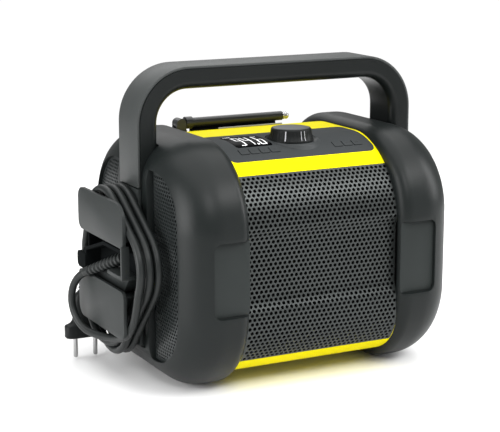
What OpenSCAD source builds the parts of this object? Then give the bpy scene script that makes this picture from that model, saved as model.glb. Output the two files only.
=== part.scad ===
// Jobsite radio: a D-shaped yellow barrel between two thick end bumpers, with a fixed
// carrying handle over the top, a folding aerial and a mains lead wound on the left end.
// X runs along the radio to the right, Y to the back and Z up. The origin is the bottom
// centre of the radio's box, cord left out, so the barrel's own middle lies at body_x.

/* [Barrel] */
// Length of barrel that shows between the bumpers
barrel_gap = 144; // [120:1:170]
// How far the bumpers stand proud of the barrel at the front and back
lip_front = 9.5; // [6:0.5:12]
// How far the bumpers stand proud of the barrel on top
lip_top = 6; // [4:0.5:16]
// Height of the barrel's underside over the ground
foot_lift = 12; // [8:0.5:16]
// Radius of the barrel's upper edges
barrel_top_r = 75; // [60:1:85]
// Radius of the barrel's lower edges
barrel_bottom_r = 49; // [35:1:60]
// Wall of the casing halves
wall = 4; // [3.5:0.1:4.5]
// Wall that closes each end of the casing
end_wall = 3; // [2.5:0.1:4]

/* [Bumpers] */
// Depth of a bumper, front to back
bumper_depth = 221; // [210:1:230]
// Height of a bumper
bumper_height = 212; // [206:1:230]
// Width of a bumper along the radio
bumper_width = 60; // [54:1:66]
// Radius of a bumper's upper corners
bumper_top_r = 72; // [55:1:80]
// Radius of a bumper's lower corners
bumper_bottom_r = 74; // [50:1:80]
// Rounding from a bumper's side to its end
bumper_end_r = 37; // [20:1:40]
// Rounding of the lip that faces the barrel
lip_r = 12; // [4:0.5:14]
// Width of the sunk pad on a bumper's front
pad_w = 35; // [25:1:40]
// Height of the sunk pad
pad_h = 64; // [50:1:70]
// Height of the sunk pad's ledge over the ground
pad_z = 73; // [65:1:80]
// Depth of the sunk pad
pad_depth = 5; // [3:0.5:6]

/* [End windows] */
// Bumper left between a window and the front or back
window_side = 24.5; // [20:0.5:28]
// Bumper left over a window
window_top = 24.5; // [20:0.5:34]
// Bumper left under a window
window_low = 23; // [20:0.5:30]
// Radius of a window's upper outer corner
window_top_r = 44; // [25:1:45]
// Radius of a window's lower outer corner
window_bottom_r = 48; // [25:1:50]
// Half the width of the pillar between two windows
pillar_half = 31; // [26:0.5:36]
// Thickness of the grille in a window
window_t = 2; // [1.5:0.25:3]
// Depth that a window's grille lies in from the bumper's end
window_sunk = 6; // [2:0.5:8]

/* [Front grille] */
// Thickness of the grille sheet
grille_t = 1.5; // [1:0.1:2]
// Casing left under the grille
grille_under = 16.5; // [12:0.5:22]
// Casing left over the grille, measured down from the barrel's top
grille_over = 22; // [16:0.5:28]
// Reach of the sunk band above the flat part of the front
band_over = 11.5; // [6:0.5:16]
// Distance from the bottom of the flat part of the front to the sunk band
band_under = 11; // [6:0.5:16]
// Depth of the sunk band
band_depth = 5; // [3:0.5:6]
// Height of the slopes above and below the band
band_slope = 10; // [6:0.5:12]

/* [Control panel] */
// Distance from the barrel's front to the panel's front edge
panel_in = 34; // [32:0.5:42]
// Depth of the panel, front to back
panel_d = 63; // [56:0.5:65]
// Radius of the panel's corners
panel_r = 6.5; // [4:0.5:10]
// Thickness of the panel
panel_t = 2.2; // [1.8:0.1:2.6]
// Display window along the radio
display_w = 35; // [30:0.5:38]
// Display window, front to back
display_d = 31; // [26:0.5:33]
// Middle of the display, left of the middle of the barrel
display_x = 38.5; // [36:0.5:41]
// Distance from the barrel's front to the middle of the display
display_in = 71.5; // [70:0.5:73]
// Side of a key
key_w = 8; // [6:0.25:8.5]
// Distance between keys
key_pitch = 9.75; // [9.5:0.25:10]
// Slope of the panel at the row of keys, in degrees
key_angle = 23; // [22:0.5:24]
// Travel of a key
key_travel = 0.6; // [0.3:0.1:0.8]

/* [Knob] */
// Radius of the knob
knob_r = 17; // [14:0.5:18]
// Height of the knob
knob_h = 9.5; // [8:0.5:14]
// Middle of the knob, right of the middle of the barrel
knob_x = 3; // [1:0.5:5]
// Distance from the barrel's front to the middle of the knob
knob_in = 65; // [63:0.5:67]
// Radius of the level collar under the knob
collar_r = 22.5; // [20:0.5:23]
// Number of flutes round the knob
knob_flutes = 24; // [16:1:30]
// Radius of the encoder's shaft
shaft_r = 3; // [2.5:0.1:3.5]

/* [Handle] */
// How far the handle stands proud of a bumper's end
handle_proud = 3; // [2:0.5:6]
// Height of the handle's top over the bumpers
handle_rise = 58.5; // [48:0.5:60]
// Thickness of the handle's frame
handle_t = 17; // [15:0.5:18]
// Thickness of the strip round the handle's outside
strip_t = 2.5; // [2:0.1:3]
// Depth of the handle, front to back
handle_d = 42; // [36:0.5:46]
// Outer radius of the handle's corners
handle_r = 48; // [40:1:55]
// Rounding of the handle's inner edges
grip_r = 7; // [4:0.5:8]
// Lower end of the handle's legs
leg_low = 30; // [28:0.5:34]

/* [Cord bracket] */
// Gap between the handle and the bracket's plates
winding_w = 24; // [22:0.5:26]
// Thickness of the bracket's plates
plate_t = 3; // [2.5:0.1:4]
// Reach of the bracket's plates to the front
plate_front = 49; // [44:0.5:52]
// Reach of the bracket's plates to the back
plate_back = 51; // [44:0.5:54]
// Height of the upper plate
plate_h = 37; // [32:0.5:38]
// Lower edge of the upper plate
upper_plate_z = 126; // [124:0.5:128]
// Lower edge of the lower plate
lower_plate_z = 47; // [46:0.5:50]

/* [Aerial] */
// Length of the black sleeve
sleeve_len = 92; // [80:1:96]
// Radius of the sleeve
sleeve_r = 4.25; // [4:0.05:4.5]
// Radius of the sliding tube
tube_r = 3; // [2.5:0.1:3.1]
// Length of the bright tip
tip_len = 6.5; // [5:0.5:8]
// Place of the aerial's pivot, left of the middle of the barrel
aerial_x = 64; // [63:0.5:65]
// Distance from the barrel's back to the aerial
aerial_in = 51; // [49:0.5:53]
// Height of the aerial's axis over the barrel's top
aerial_z = 5; // [4.5:0.1:6]
// Radius of the turret that the aerial turns on
turret_r = 7; // [6.5:0.1:7.5]

/* [Cord and plug] */
// Diameter of the mains lead
cord_d = 6.7; // [6:0.1:7.5]
// Length of a plug pin
pin_len = 19; // [18:0.5:20]
// Radius of a plug pin
pin_r = 2; // [1.8:0.1:2.4]
// Distance between the plug's pins
pin_pitch = 19; // [18:0.5:20]
// Width of the plug's flange
flange_w = 38; // [34:0.5:40]

/* [Back] */
// Width of the socket panel on the back
back_w = 100; // [90:1:110]
// Height of the socket panel
back_h = 56; // [50:1:60]
// Width of the flap over the sockets
flap_w = 42; // [38:0.5:44]
// Height of the flap
flap_h = 22; // [20:0.5:24]

/* [Clearances] */
// Gap between fixed pieces that sit in each other
seat_gap = 0.2; // [0.1:0.05:0.3]
// Gap between a moving piece and its neighbour
move_gap = 0.35; // [0.3:0.05:0.5]
// Radial gap of a shaft in its bore
run_gap = 0.05; // [0.03:0.01:0.08]

/* [Hidden] */
$fn = 64;

// Pieces of casing, derived
mid_half = barrel_gap / 2;
bumper_end = mid_half + bumper_width;
handle_reach = bumper_end + handle_proud;
handle_top = bumper_height + handle_rise;
shell_end = handle_reach - strip_t - handle_t;   // the handle's legs seat on it
bumper_half = bumper_depth / 2;
barrel_half = bumper_half - lip_front;
barrel_high = bumper_height - lip_top;
barrel_low = foot_lift;
top_y = barrel_half - barrel_top_r;      // centre line of the upper edge rounding
top_z = barrel_high - barrel_top_r;
low_y = barrel_half - barrel_bottom_r;
shoulder_x = shell_end - 10;             // the casing steps in here, under the bumper's rounding
shoulder = 6;

// Front grille, its ends under the bumpers, and its band
grille_half = mid_half + 2;
grille_low = barrel_low + grille_under;
grille_high = barrel_high - grille_over;
band_low = barrel_low + barrel_bottom_r + band_under;
band_high = top_z + band_over;

// Control panel; the casing's halves meet a rim behind it
panel_front = barrel_half - panel_in;
panel_back = panel_front - panel_d;
panel_rim = 4;
split_y = panel_rim - panel_back;
display_y = barrel_half - display_in;
knob_y = barrel_half - knob_in;

// Speakers behind the end windows
speaker_z = bumper_height / 2;
speaker_hole_r = 58;
speaker_rim_r = 64;
speaker_rim_t = 3;
cone_depth = 22;
basket_depth = 34;
magnet_r = 34;
magnet_t = 15;
magnet_step = 3;

panel_half = mid_half - 1;
key_count_left = 4;
key_count_right = 3;
keys_left_x = -display_x - 1.5 * key_pitch;
keys_right_x = 38;
board_z = barrel_high - 20;
board_t = 1.6;
board_half = panel_half - 7;
board_margin = 6;
key_pad_y = -top_y - (barrel_top_r - 11) * sin(key_angle) + 1;
display_margin = 1;
display_foot = 7;
collar_top = barrel_high - 1.5;
collar_low = barrel_high - 9;
knob_low = collar_top + 0.6;
key_flange = 1;

// Main board over the transformer, between the two magnets
main_half = shell_end - end_wall - basket_depth - magnet_t - magnet_step - 5.5;
main_y0 = split_y + 8;
main_y1 = barrel_half - wall - 25;
main_z = barrel_low + wall + 34;
core_w = 52;
core_d = 30;
core_h = 30;

// Screws
screw_r = 1.75;
screw_head_r = 3.6;
screw_head_t = 2.4;
boss_r = 5;
boss_x = shell_end - end_wall - 12.5;
boss_len = 24;
boss_head = 12;
boss_low_z = barrel_low + wall + boss_r - 1;
boss_high_z = barrel_high - wall - boss_r + 1;
leg_screw_y = 12;
leg_screw_zs = [leg_low + 8, barrel_high - 26];

// Handle
handle_half = handle_d / 2;
strip_left_low = upper_plate_z + plate_h + 7;
bracket_screw_zs = [lower_plate_z + 19, upper_plate_z + 14];
strip_right_low = leg_low + 6;

// Cord bracket, measured along X to the left of the barrel's middle
plate_in = handle_reach + winding_w;
lower_plate_high = lower_plate_z + plate_h + 5;
shelf_t = 3;
shelf_z = 99.5;
shelf_low = 86;          // underside of the block that carries the shelf
block_in = 4;            // the block stays this far inside the plates
hood_in = 11;            // depth of the dark recess behind the plates
hood_t = 3;
hood_y = 40;             // back of the recess
hood_top = 124.5;
hood_slope = 18;         // fall of the recess's roof towards the back, in degrees
hook_y = 53;             // back edge of the plate beside the recess
hook_z = 91;
hook_x = plate_in + plate_t + 1;
boot_len = 58;
boot_drop = 22.7;
boot_turn = 17.9;
boot_r = 6;
boot_root = [-150, -24, 113];
boot_tip = boot_root + boot_len * [-sin(boot_turn) * cos(boot_drop),
                                   cos(boot_turn) * cos(boot_drop), -sin(boot_drop)];

// The bracket reaches further left than the handle does right, which sets the origin
body_x = (hook_x - handle_reach) / 2;

// Shape of the wound cord as seen from its end: four round corners [y, z, radius]
coil_corners = [[5, 130, 41], [-38, 108, 36], [12, 60, 41], [24, 105, 32]];
coil_build = 14;         // how deep the turns lie on each other
coil_clear = 0.5;

// Plug, hanging behind the bracket with its pins down
plug_x = 152;
plug_y = 67;
plug_low = 1.5;
flange_d = 14;
flange_h = 12;
plug_body_h = 29;
plug_boot_h = 10;

// Route of the free cord: from the strain relief to the winding
tail_points = [boot_tip, [-169.3, 35.6, 84.5], [-171.8, 41.4, 75.6], [-173, 43.3, 65.2],
               [-172.6, 41.1, 54.8], [-170.8, 35.3, 46.1], [-168, 26.3, 40.2], [-164.6, 15.9, 38.1],
               [-160.6, 2, 38.3], [-157.3, -11, 39.6], [-155.6, -24, 42.6], [-155.4, -36, 47.3],
               [-155.4, -46.5, 54.5], [-155.4, -55, 64.5], [-155.4, -61, 77], [-155.4, -65.4, 90.9]];
// Route from the winding down to the plug
lead_points = [[-152, 67, 69], [-152, 66, 75], [-152, 62, 81], [-151, 56, 90], [-150, 51, 98]];
cord_sides = 10;

// Aerial
aerial_axis = barrel_high + aerial_z;
knuckle_len = 12;
knuckle_r = 5.5;
eye_r = 4.6;
eye_w = 5;
ear_t = 2.5;
hinge_r = 1.5;
turret_top = aerial_axis - knuckle_r - 0.9;
recess_floor = barrel_high - 4.5;
aerial_y = barrel_half - aerial_in;
recess_front = aerial_y - turret_r + 0.5;
recess_right = 38;
sleeve_start = -aerial_x + knuckle_len;
tube_start = sleeve_start + 7;

// Back
back_low = 68;
back_t = 2.2;
flap_t = 1.8;
flap_x = 22;
flap_pin_r = 1;
flap_pin_y = barrel_half + 2.6;
flap_pin_z = back_low + back_h - 7;
flap_knuckle_r = 2.2;
aux_r = 1.8;
port_w = 9;
port_h = 3.2;
socket_w = 40;
socket_h = 16;
socket_d = 14;
socket_z = flap_pin_z - 12;

// Colours
yellow = "gold";
charcoal = [0.25, 0.26, 0.26];
dark = [0.16, 0.17, 0.17];
black = [0.07, 0.07, 0.07];
bright = [0.8, 0.81, 0.82];

// ---- Helpers ----

// Moves a piece from the barrel's own middle to the origin of the whole radio
module placed() translate([body_x, 0, 0]) children();

// Puts a flat shape, drawn with Y across and Z up, along X from x0 to x1
module along_x(x0, x1)
    translate([x0, 0, 0]) rotate([90, 0, 90]) linear_extrude(x1 - x0) children();

// Outline of the barrel or a bumper from its end: a box with four round corners
module end_outline(half, low, high, r_high, r_low) {
    translate([-half, low + r_low]) square([2 * half, high - r_high - low - r_low]);
    translate([-(half - r_high), high - r_high - 1]) square([2 * (half - r_high), r_high + 1]);
    translate([-(half - r_low), low]) square([2 * (half - r_low), r_low + 1]);
    for (side = [-1, 1]) {
        translate([side * (half - r_high), high - r_high]) circle(r_high);
        translate([side * (half - r_low), low + r_low]) circle(r_low);
    }
}

module barrel_outline(inset = 0)
    end_outline(barrel_half - inset, barrel_low + inset, barrel_high - inset,
                barrel_top_r - inset, barrel_bottom_r - inset);

module barrel(x0, x1, inset = 0) along_x(x0, x1) barrel_outline(inset);

// The barrel's skin between two depths
module skin(x0, x1, from, to)
    along_x(x0, x1) difference() { barrel_outline(from); barrel_outline(to); }

// Everything in front of, or behind, the split between the casing halves
module half_space(side)
    translate([-500, side > 0 ? split_y : split_y - 500, -10]) cube([1000, 500, 600]);

// Upright prism with round corners
module rounded_box(x0, x1, y0, y1, z0, z1, r)
    translate([0, 0, z0]) linear_extrude(z1 - z0) rounded_rect(x0, x1, y0, y1, r);

module rounded_rect(x0, x1, y0, y1, r) {
    translate([x0 + r, y0]) square([x1 - x0 - 2 * r, y1 - y0]);
    translate([x0, y0 + r]) square([x1 - x0, y1 - y0 - 2 * r]);
    for (x = [x0 + r, x1 - r], y = [y0 + r, y1 - r]) translate([x, y]) circle(r, $fn = 32);
}

// Cylinders along X and Y
module rod_x(x0, x1, y, z, r)
    translate([x0, y, z]) rotate([0, 90, 0]) cylinder(h = x1 - x0, r = r);
module rod_y(x, y0, y1, z, r)
    translate([x, y0, z]) rotate([-90, 0, 0]) cylinder(h = y1 - y0, r = r);

// A place on the curved front of the control panel, its own Z square to the surface
module on_panel(x, angle)
    translate([x, -top_y, top_z]) rotate([angle, 0, 0])
        translate([0, 0, barrel_top_r]) children();

// ---- Casing ----

// The casing's form, full between the shoulders and stepped in beyond them
module casing_form(inset, end) {
    barrel(-shoulder_x + inset, shoulder_x - inset, inset);
    barrel(-end, end, inset + shoulder);
}

// Screw towers that join the two casing halves, on each side of the split
module towers(side) {
    for (x = [-boss_x, boss_x], z = [boss_low_z, boss_high_z])
        intersection() {
            rod_y(x, side > 0 ? split_y : split_y - boss_len,
                  side > 0 ? barrel_half : split_y, z, boss_r);
            casing_form(0.5, shell_end);
        }
}

// Half of the casing, open inside, with its ends closed and its speaker holes cut
module casing_half(side) {
    difference() {
        union() {
            intersection() {
                difference() {
                    casing_form(0, shell_end);
                    casing_form(wall, shell_end - end_wall);
                }
                half_space(side);
            }
            towers(side);
        }
        rod_x(-shell_end - 1, -shell_end + end_wall + 1, 0, speaker_z, speaker_hole_r);
        rod_x(shell_end - end_wall - 1, shell_end + 1, 0, speaker_z, speaker_hole_r);
        for (x = [-boss_x, boss_x], z = [boss_low_z, boss_high_z]) {
            rod_y(x, split_y - boss_len + 4, split_y + 30, z, screw_r + run_gap);
            rod_y(x, split_y + boss_head, barrel_half + 5, z, screw_head_r + seat_gap);
        }
        for (end = [-1, 1], y = [-leg_screw_y, leg_screw_y], z = leg_screw_zs)
            rod_x(end * (shell_end - end_wall / 2) - end_wall, end * (shell_end - end_wall / 2)
                  + end_wall, y, z, screw_r + run_gap);
    }
}

module front_shell() color(yellow) placed() difference() {
    casing_half(-1);
    // seat of the grille and the opening behind it
    intersection() {
        skin(-grille_half - seat_gap, grille_half + seat_gap, -1, grille_t + seat_gap);
        translate([-200, -200, grille_low - seat_gap])
            cube([400, 200, grille_high - grille_low + 2 * seat_gap]);
    }
    translate([-mid_half + 7, -200, grille_low + 8])
        cube([barrel_gap - 14, 200 - top_y, grille_high - grille_low - 16]);
    translate([-grille_half - seat_gap, -barrel_half - 1, band_low - 2])
        cube([2 * (grille_half + seat_gap), wall + 4, band_high - band_low + 4]);
    // pocket of the control panel and the opening under it
    intersection() {
        skin(-mid_half, mid_half, -1, panel_t + seat_gap / 2);
        rounded_box(-panel_half - seat_gap, panel_half + seat_gap, -panel_front - seat_gap,
                    -panel_back + seat_gap, top_z, barrel_high + 5, panel_r);
    }
    rounded_box(-panel_half + 5, panel_half - 5, -panel_front + 2, -panel_back - 3,
                barrel_high - 30, barrel_high + 5, 4);
}

module rear_shell() color(yellow) placed() difference() {
    union() {
        casing_half(1);
        // posts under the main board
        for (x = [-main_half + 7, main_half - 7], y = [main_y0 + 6, main_y1 - 6])
            translate([x, y, barrel_low + wall])
                cylinder(h = main_z - barrel_low - wall, r = 3.5);
        // bearing of the aerial turret
        intersection() {
            translate([-aerial_x, aerial_y, barrel_high - 22]) cylinder(h = 22, r = turret_r + 3);
            barrel(-shell_end, shell_end, 0.5);
        }
    }
    // recess along the aerial, open to the back
    translate([-mid_half, recess_front, recess_floor])
        cube([mid_half + recess_right, 60, 20]);
    // turret bore, stopped by a floor
    translate([-aerial_x, aerial_y, barrel_high - 18])
        cylinder(h = 30, r = turret_r + run_gap);
    // pocket and opening of the socket panel
    translate([-back_w / 2 - seat_gap, barrel_half - back_t - seat_gap / 2, back_low - seat_gap])
        cube([back_w + 2 * seat_gap, 10, back_h + 2 * seat_gap]);
    translate([-back_w / 2 + 4, barrel_half - 10, back_low + 4])
        cube([back_w - 8, 20, back_h - 8]);
}

// ---- Control panel ----

module display_cut(grow)
    rounded_box(-display_x - display_w / 2 - grow, -display_x + display_w / 2 + grow,
                -display_y - display_d / 2 - grow, -display_y + display_d / 2 + grow,
                top_z, barrel_high + 5, 2);

module control_panel() color(dark) placed() {
    difference() {
        intersection() {
            skin(-panel_half, panel_half, 0, panel_t);
            rounded_box(-panel_half, panel_half, -panel_front, -panel_back,
                        top_z, barrel_high + 5, panel_r);
        }
        intersection() {
            skin(-panel_half, panel_half, -1, 1.7);
            display_cut(seat_gap);
        }
        display_cut(-1.5);
        translate([knob_x, -knob_y, top_z]) cylinder(h = 100, r = collar_r + seat_gap);
        for (x = key_places()) on_panel(x, key_angle) key_prism(key_w / 2 + move_gap, -8, 5);
    }
    // posts that carry the key board
    for (x = [-panel_half + 10, panel_half - 10], y = [-panel_back - 10, -panel_front + 25])
        difference() {
            translate([x, y, board_z + board_t])
                cylinder(h = barrel_high - board_z - board_t, r = 3);
            intersection() {
                translate([-200, -200, 0]) cube([400, 400, 400]);
                skin(-panel_half, panel_half, -20, panel_t / 2);
            }
        }
}

function key_places() = concat(
    [for (i = [0:key_count_left - 1]) keys_left_x + i * key_pitch],
    [for (i = [0:key_count_right - 1]) keys_right_x + i * key_pitch]);

module key_prism(half, z0, z1) rounded_box(-half, half, -half, half, z0, z1, 1.2);

// One key: a cap through the panel, a flange that holds it in and a stem to its switch
module key(index) color(charcoal) placed() on_panel(key_places()[index], key_angle) {
    key_prism(key_w / 2, -panel_t - move_gap, 0.5);
    key_prism(key_w / 2 + 0.8, -panel_t - move_gap - key_flange, -panel_t - move_gap);
    translate([0, 0, -8]) cylinder(h = 8 - panel_t - move_gap, r = 1.5);
}

module display_lens() color(black) placed() intersection() {
    skin(-panel_half, panel_half, 0.1, 1.6);
    display_cut(0);
}

module display_module() color(dark) placed() {
    translate([-display_x - display_w / 2 + display_margin,
               -display_y - display_d / 2 + display_margin, board_z + board_t])
        cube([display_w - 2 * display_margin, display_d - 2 * display_margin,
              barrel_high - board_z - board_t - display_foot]);
}

module key_board() color("darkgreen") placed() {
    difference() {
        translate([-board_half, -panel_front + board_margin, board_z])
            cube([2 * board_half, panel_d - board_margin - panel_rim, board_t]);
        translate([knob_x, -knob_y, board_z - 1]) cylinder(h = 5, r = 2);
    }
    // a small switch stands under each key
    for (x = key_places()) on_panel(x, key_angle)
        translate([-2, -2, -8 - key_travel - move_gap - 3]) cube([4, 4, 3]);
    for (x = key_places())
        translate([x - 1.5, key_pad_y, board_z + board_t]) cube([3, 5, 3]);
}

// ---- Knob ----

module knob_collar() color([0.45, 0.46, 0.46]) placed()
    translate([knob_x, -knob_y, 0]) difference() {
        union() {
            translate([0, 0, collar_low]) cylinder(h = collar_top - collar_low - 1, r = collar_r);
            translate([0, 0, collar_top - 1]) cylinder(h = 1, r1 = collar_r, r2 = collar_r - 1);
        }
        translate([0, 0, collar_low - 1]) cylinder(h = 30, r = 5.5 + seat_gap);
        // shallow dish that the knob's skirt runs in
        translate([0, 0, collar_top - 0.6]) cylinder(h = 2, r = knob_r + 1.2);
    }

module control_knob() color(charcoal) placed() translate([knob_x, -knob_y, knob_low])
    difference() {
        rotate_extrude() polygon([[0, 0], [knob_r + 0.5, 0], [knob_r + 0.5, 1], [knob_r, 1.6],
            [knob_r - 0.4, knob_h - 1.2], [knob_r - 1.4, knob_h - 0.2], [knob_r - 2, knob_h],
            [knob_r - 3, knob_h], [knob_r - 3.6, knob_h - 0.5], [0, knob_h - 0.5]]);
        translate([0, 0, -1]) cylinder(h = knob_h - 1, r = shaft_r);
        for (i = [0:knob_flutes - 1]) rotate(i * 360 / knob_flutes)
            translate([knob_r + 0.55, 0, 1.6]) cylinder(h = knob_h, r = 1.1, $fn = 16);
    }

module encoder_shaft() color(bright) placed()
    translate([knob_x, -knob_y, board_z + board_t + 6.5])
        cylinder(h = knob_low + knob_h - 2 - (board_z + board_t + 6.5), r = shaft_r);

module encoder_bush() color(bright) placed() translate([knob_x, -knob_y, board_z + board_t])
    difference() {
        union() {
            translate([-7, -7, 0]) cube([14, 14, 6]);
            cylinder(h = collar_top - 1.5 - board_z - board_t, r = 5.5);
        }
        translate([0, 0, 6]) cylinder(h = 30, r = shaft_r + run_gap);
    }

// ---- Front grille ----

// Cross-section of the grille sheet, with its sunk band
module grille_section(inset, thick) {
    y = -barrel_half + inset;
    difference() {
        intersection() {
            difference() { barrel_outline(inset); barrel_outline(inset + thick); }
            translate([-200, grille_low + inset]) square([200 - top_y, grille_high - grille_low - 2 * inset]);
        }
        translate([y - 5, band_low]) square([12, band_high - band_low]);
    }
    polygon([[y, band_high], [y + band_depth, band_high - band_slope],
             [y + band_depth, band_low + band_slope], [y, band_low],
             [y + thick, band_low], [y + band_depth + thick, band_low + band_slope],
             [y + band_depth + thick, band_high - band_slope], [y + thick, band_high]]);
}

module front_grille() color(dark) placed()
    along_x(-grille_half, grille_half) grille_section(0, grille_t);

// Frame with the cloth that backs the grille
module grille_backing() color(black) placed() {
    low = grille_low + 5;
    high = grille_high - 5;
    half = mid_half - 2;
    difference() {
        intersection() {
            skin(-half, half, wall + seat_gap / 2, wall + 5);
            translate([-half, -200, low]) cube([2 * half, 200 - top_y + 20, high - low]);
        }
        intersection() {
            skin(-half + 8, half - 8, wall - 1, wall + 4);
            translate([-half, -200, low + 8]) cube([2 * half, 200, high - low - 16]);
        }
        translate([-half - 1, -barrel_half, band_low - 2])
            cube([2 * half + 2, band_depth + grille_t + 0.5, band_high - band_low + 4]);
    }
}

// ---- Bumpers ----

module bumper_outline(inset)
    end_outline(bumper_half - inset, inset, bumper_height - inset,
                bumper_top_r - inset, bumper_bottom_r - inset);

// A disc lying across X with rounded rims: the round corner of a bumper
module bumper_corner(y, z, r, x0, x1, r0, r1)
    translate([x0, y, z]) rotate([0, 90, 0]) rotate_extrude() union() {
        square([r - r0, r0]);
        square([r - r1, x1 - x0]);
        translate([0, r0]) square([r, x1 - x0 - r0 - r1]);
        translate([r - r0, r0]) intersection() { circle(r0); translate([0, -r0]) square(r0); }
        translate([r - r1, x1 - x0 - r1]) intersection() { circle(r1); square(r1); }
    }

// Section of the wide rim's rounding, cut off short of the bumper's inner face
module rim_disc(r) intersection() {
    circle(r);
    translate([-8, -r]) square([r + 8, 2 * r]);
}

// Solid of a bumper with its two rims rounded
module bumper_solid() {
    x0 = mid_half;
    x1 = bumper_end;
    r0 = lip_r;
    r1 = bumper_end_r;
    along_x(x0 + r0, x1 - r1) bumper_outline(0);
    along_x(x0, x0 + r0) bumper_outline(r0);
    along_x(x1 - r1, x1) bumper_outline(r1);
    high_y = bumper_half - bumper_top_r;
    high_z = bumper_height - bumper_top_r;
    low_y = bumper_half - bumper_bottom_r;
    low_z = bumper_bottom_r;
    for (side = [-1, 1]) {
        bumper_corner(side * high_y, high_z, bumper_top_r, x0, x1, r0, r1);
        bumper_corner(side * low_y, low_z, bumper_bottom_r, x0, x1, r0, r1);
    }
    for (side = [-1, 1]) {
        translate([x0 + r0, side * (bumper_half - r0), low_z])
            cylinder(h = high_z - low_z, r = r0);
        translate([x1 - r1, side * (bumper_half - r1), low_z])
            linear_extrude(high_z - low_z) rim_disc(r1);
    }
    rod_y(x0 + r0, -high_y, high_y, bumper_height - r0, r0);
    rod_y(x0 + r0, -low_y, low_y, r0, r0);
    translate([x1 - r1, high_y, bumper_height - r1]) rotate([90, 0, 0])
        linear_extrude(2 * high_y) rim_disc(r1);
    translate([x1 - r1, low_y, r1]) rotate([90, 0, 0]) linear_extrude(2 * low_y) rim_disc(r1);
}

// Windows in a bumper's end, grown or shrunk by grow
module windows(x0, x1, grow) {
    for (side = [-1, 1])
        intersection() {
            along_x(x0, x1) end_outline(bumper_half - window_side + grow, window_low - grow,
                                        bumper_height - window_top + grow,
                                        window_top_r + grow, window_bottom_r + grow);
            translate([x0, side > 0 ? pillar_half - grow : -200, 0])
                cube([x1 - x0, 200 - pillar_half + grow, 400]);
        }
}

// The right bumper; the left one is its mirror image
module bumper() difference() {
    bumper_solid();
    barrel(mid_half - 1, shoulder_x + seat_gap, -seat_gap);
    barrel(mid_half - 1, shell_end + seat_gap, shoulder - seat_gap);
    windows(shell_end - 1, bumper_end + 1, 0);
    // slot for the handle's leg
    translate([shell_end - seat_gap, -handle_half - seat_gap, leg_low - seat_gap])
        cube([40, handle_d + 2 * seat_gap, 300]);
    // sunk pad on the front
    translate([0, -bumper_half + pad_depth, 0]) rotate([90, 0, 0])
        rounded_box(mid_half - 20, mid_half + pad_w, pad_z, pad_z + pad_h, 0, 20, 7);
}

module left_bumper() color(charcoal) placed() mirror([1, 0, 0]) bumper();
module right_bumper() color(charcoal) placed() bumper();

// Cup in each window: a perforated face with a rim that stands on the casing's end
module end_grille() difference() {
    windows(shell_end + seat_gap, bumper_end - window_sunk, -seat_gap);
    windows(shell_end, bumper_end - window_sunk - window_t, -seat_gap - 2.5);
}
module left_end_grille() color(dark) placed() mirror([1, 0, 0]) end_grille();
module right_end_grille() color(dark) placed() end_grille();

// ---- Handle ----

// Cross-section of the handle's frame: x runs in from the outside, y along the depth
module grip_section()
    difference() {
        translate([0, -handle_half]) square([handle_t, handle_d]);
        for (side = [-1, 1]) {
            difference() {
                translate([handle_t - grip_r, side * (handle_half - grip_r / 2) - grip_r / 2])
                    square([grip_r + 1, grip_r]);
                translate([handle_t - grip_r, side * (handle_half - grip_r)]) circle(grip_r);
            }
        }
    }

module strip_section() translate([0, -handle_half + 0.8]) square([strip_t, handle_d - 1.6]);

// Sweeps a section round the handle: two legs, two corners and the bar. The section's x
// is measured inward from a line that lies off inside the handle's outer face.
module handle_path(off, left_low, right_low) {
    r = handle_r - off;
    cx = handle_reach - handle_r;
    cz = handle_top - handle_r;
    for (side = [-1, 1]) {
        low = side < 0 ? left_low : right_low;
        translate([side * (handle_reach - off), 0, low])
            linear_extrude(cz - low) mirror([side > 0 ? 1 : 0, 0]) children();
        translate([side * cx, 0, cz]) rotate([90, 0, side > 0 ? 0 : 180])
            rotate_extrude(angle = 90) translate([r, 0]) mirror([1, 0]) children();
    }
    translate([-cx, 0, handle_top - off]) rotate([0, 90, 0])
        linear_extrude(2 * cx) children();
}

module handle_frame() color(charcoal) placed() difference() {
    handle_path(strip_t, leg_low, leg_low) grip_section();
    for (side = [0, 1], y = [-leg_screw_y, leg_screw_y], z = leg_screw_zs) mirror([side, 0, 0])
        rod_x(shell_end - 1, shell_end + 6.5, y, z, screw_r + run_gap);
    for (z = bracket_screw_zs) {
        rod_x(-handle_reach - 1, -shell_end + 1, 0, z, screw_r + run_gap);
        rod_x(-shell_end - screw_head_t - 0.4, -shell_end + 1, 0, z, screw_head_r + seat_gap);
    }
}

module handle_strip() color([0.32, 0.33, 0.33]) placed()
    handle_path(0, strip_left_low, strip_right_low) strip_section();

// ---- Cord bracket ----

// A plate with round corners, from its end. The radii go round from the low front corner.
module plate_outline(y0, y1, z0, z1, r) {
    corners = [[y0, z0, 1, 1], [y1, z0, -1, 1], [y1, z1, -1, -1], [y0, z1, 1, -1]];
    difference() {
        translate([y0, z0]) square([y1 - y0, z1 - z0]);
        for (i = [0:3]) translate([corners[i][0], corners[i][1]])
            facing(corners[i]) translate([-1, -1]) square(r[i] + 1);
    }
    for (i = [0:3]) translate([corners[i][0], corners[i][1]])
        facing(corners[i]) translate([r[i], r[i]]) circle(r[i]);
}

// Turns a corner's shape to face inward
module facing(corner)
    mirror([corner[2] > 0 ? 0 : 1, 0]) mirror([0, corner[3] > 0 ? 0 : 1]) children();

// The spool that the cord is wound on, as a solid between two heights
module spool(z0, z1) intersection() {
    along_x(-plate_in - 0.5, -handle_reach) hull()
        for (c = coil_corners)
            translate([c[0], c[1]]) circle(c[2] - coil_build - coil_clear - 1, $fn = 40);
    translate([-200, -plate_front + 6, z0]) cube([200, plate_front + plate_back - 14, z1 - z0]);
}

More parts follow.
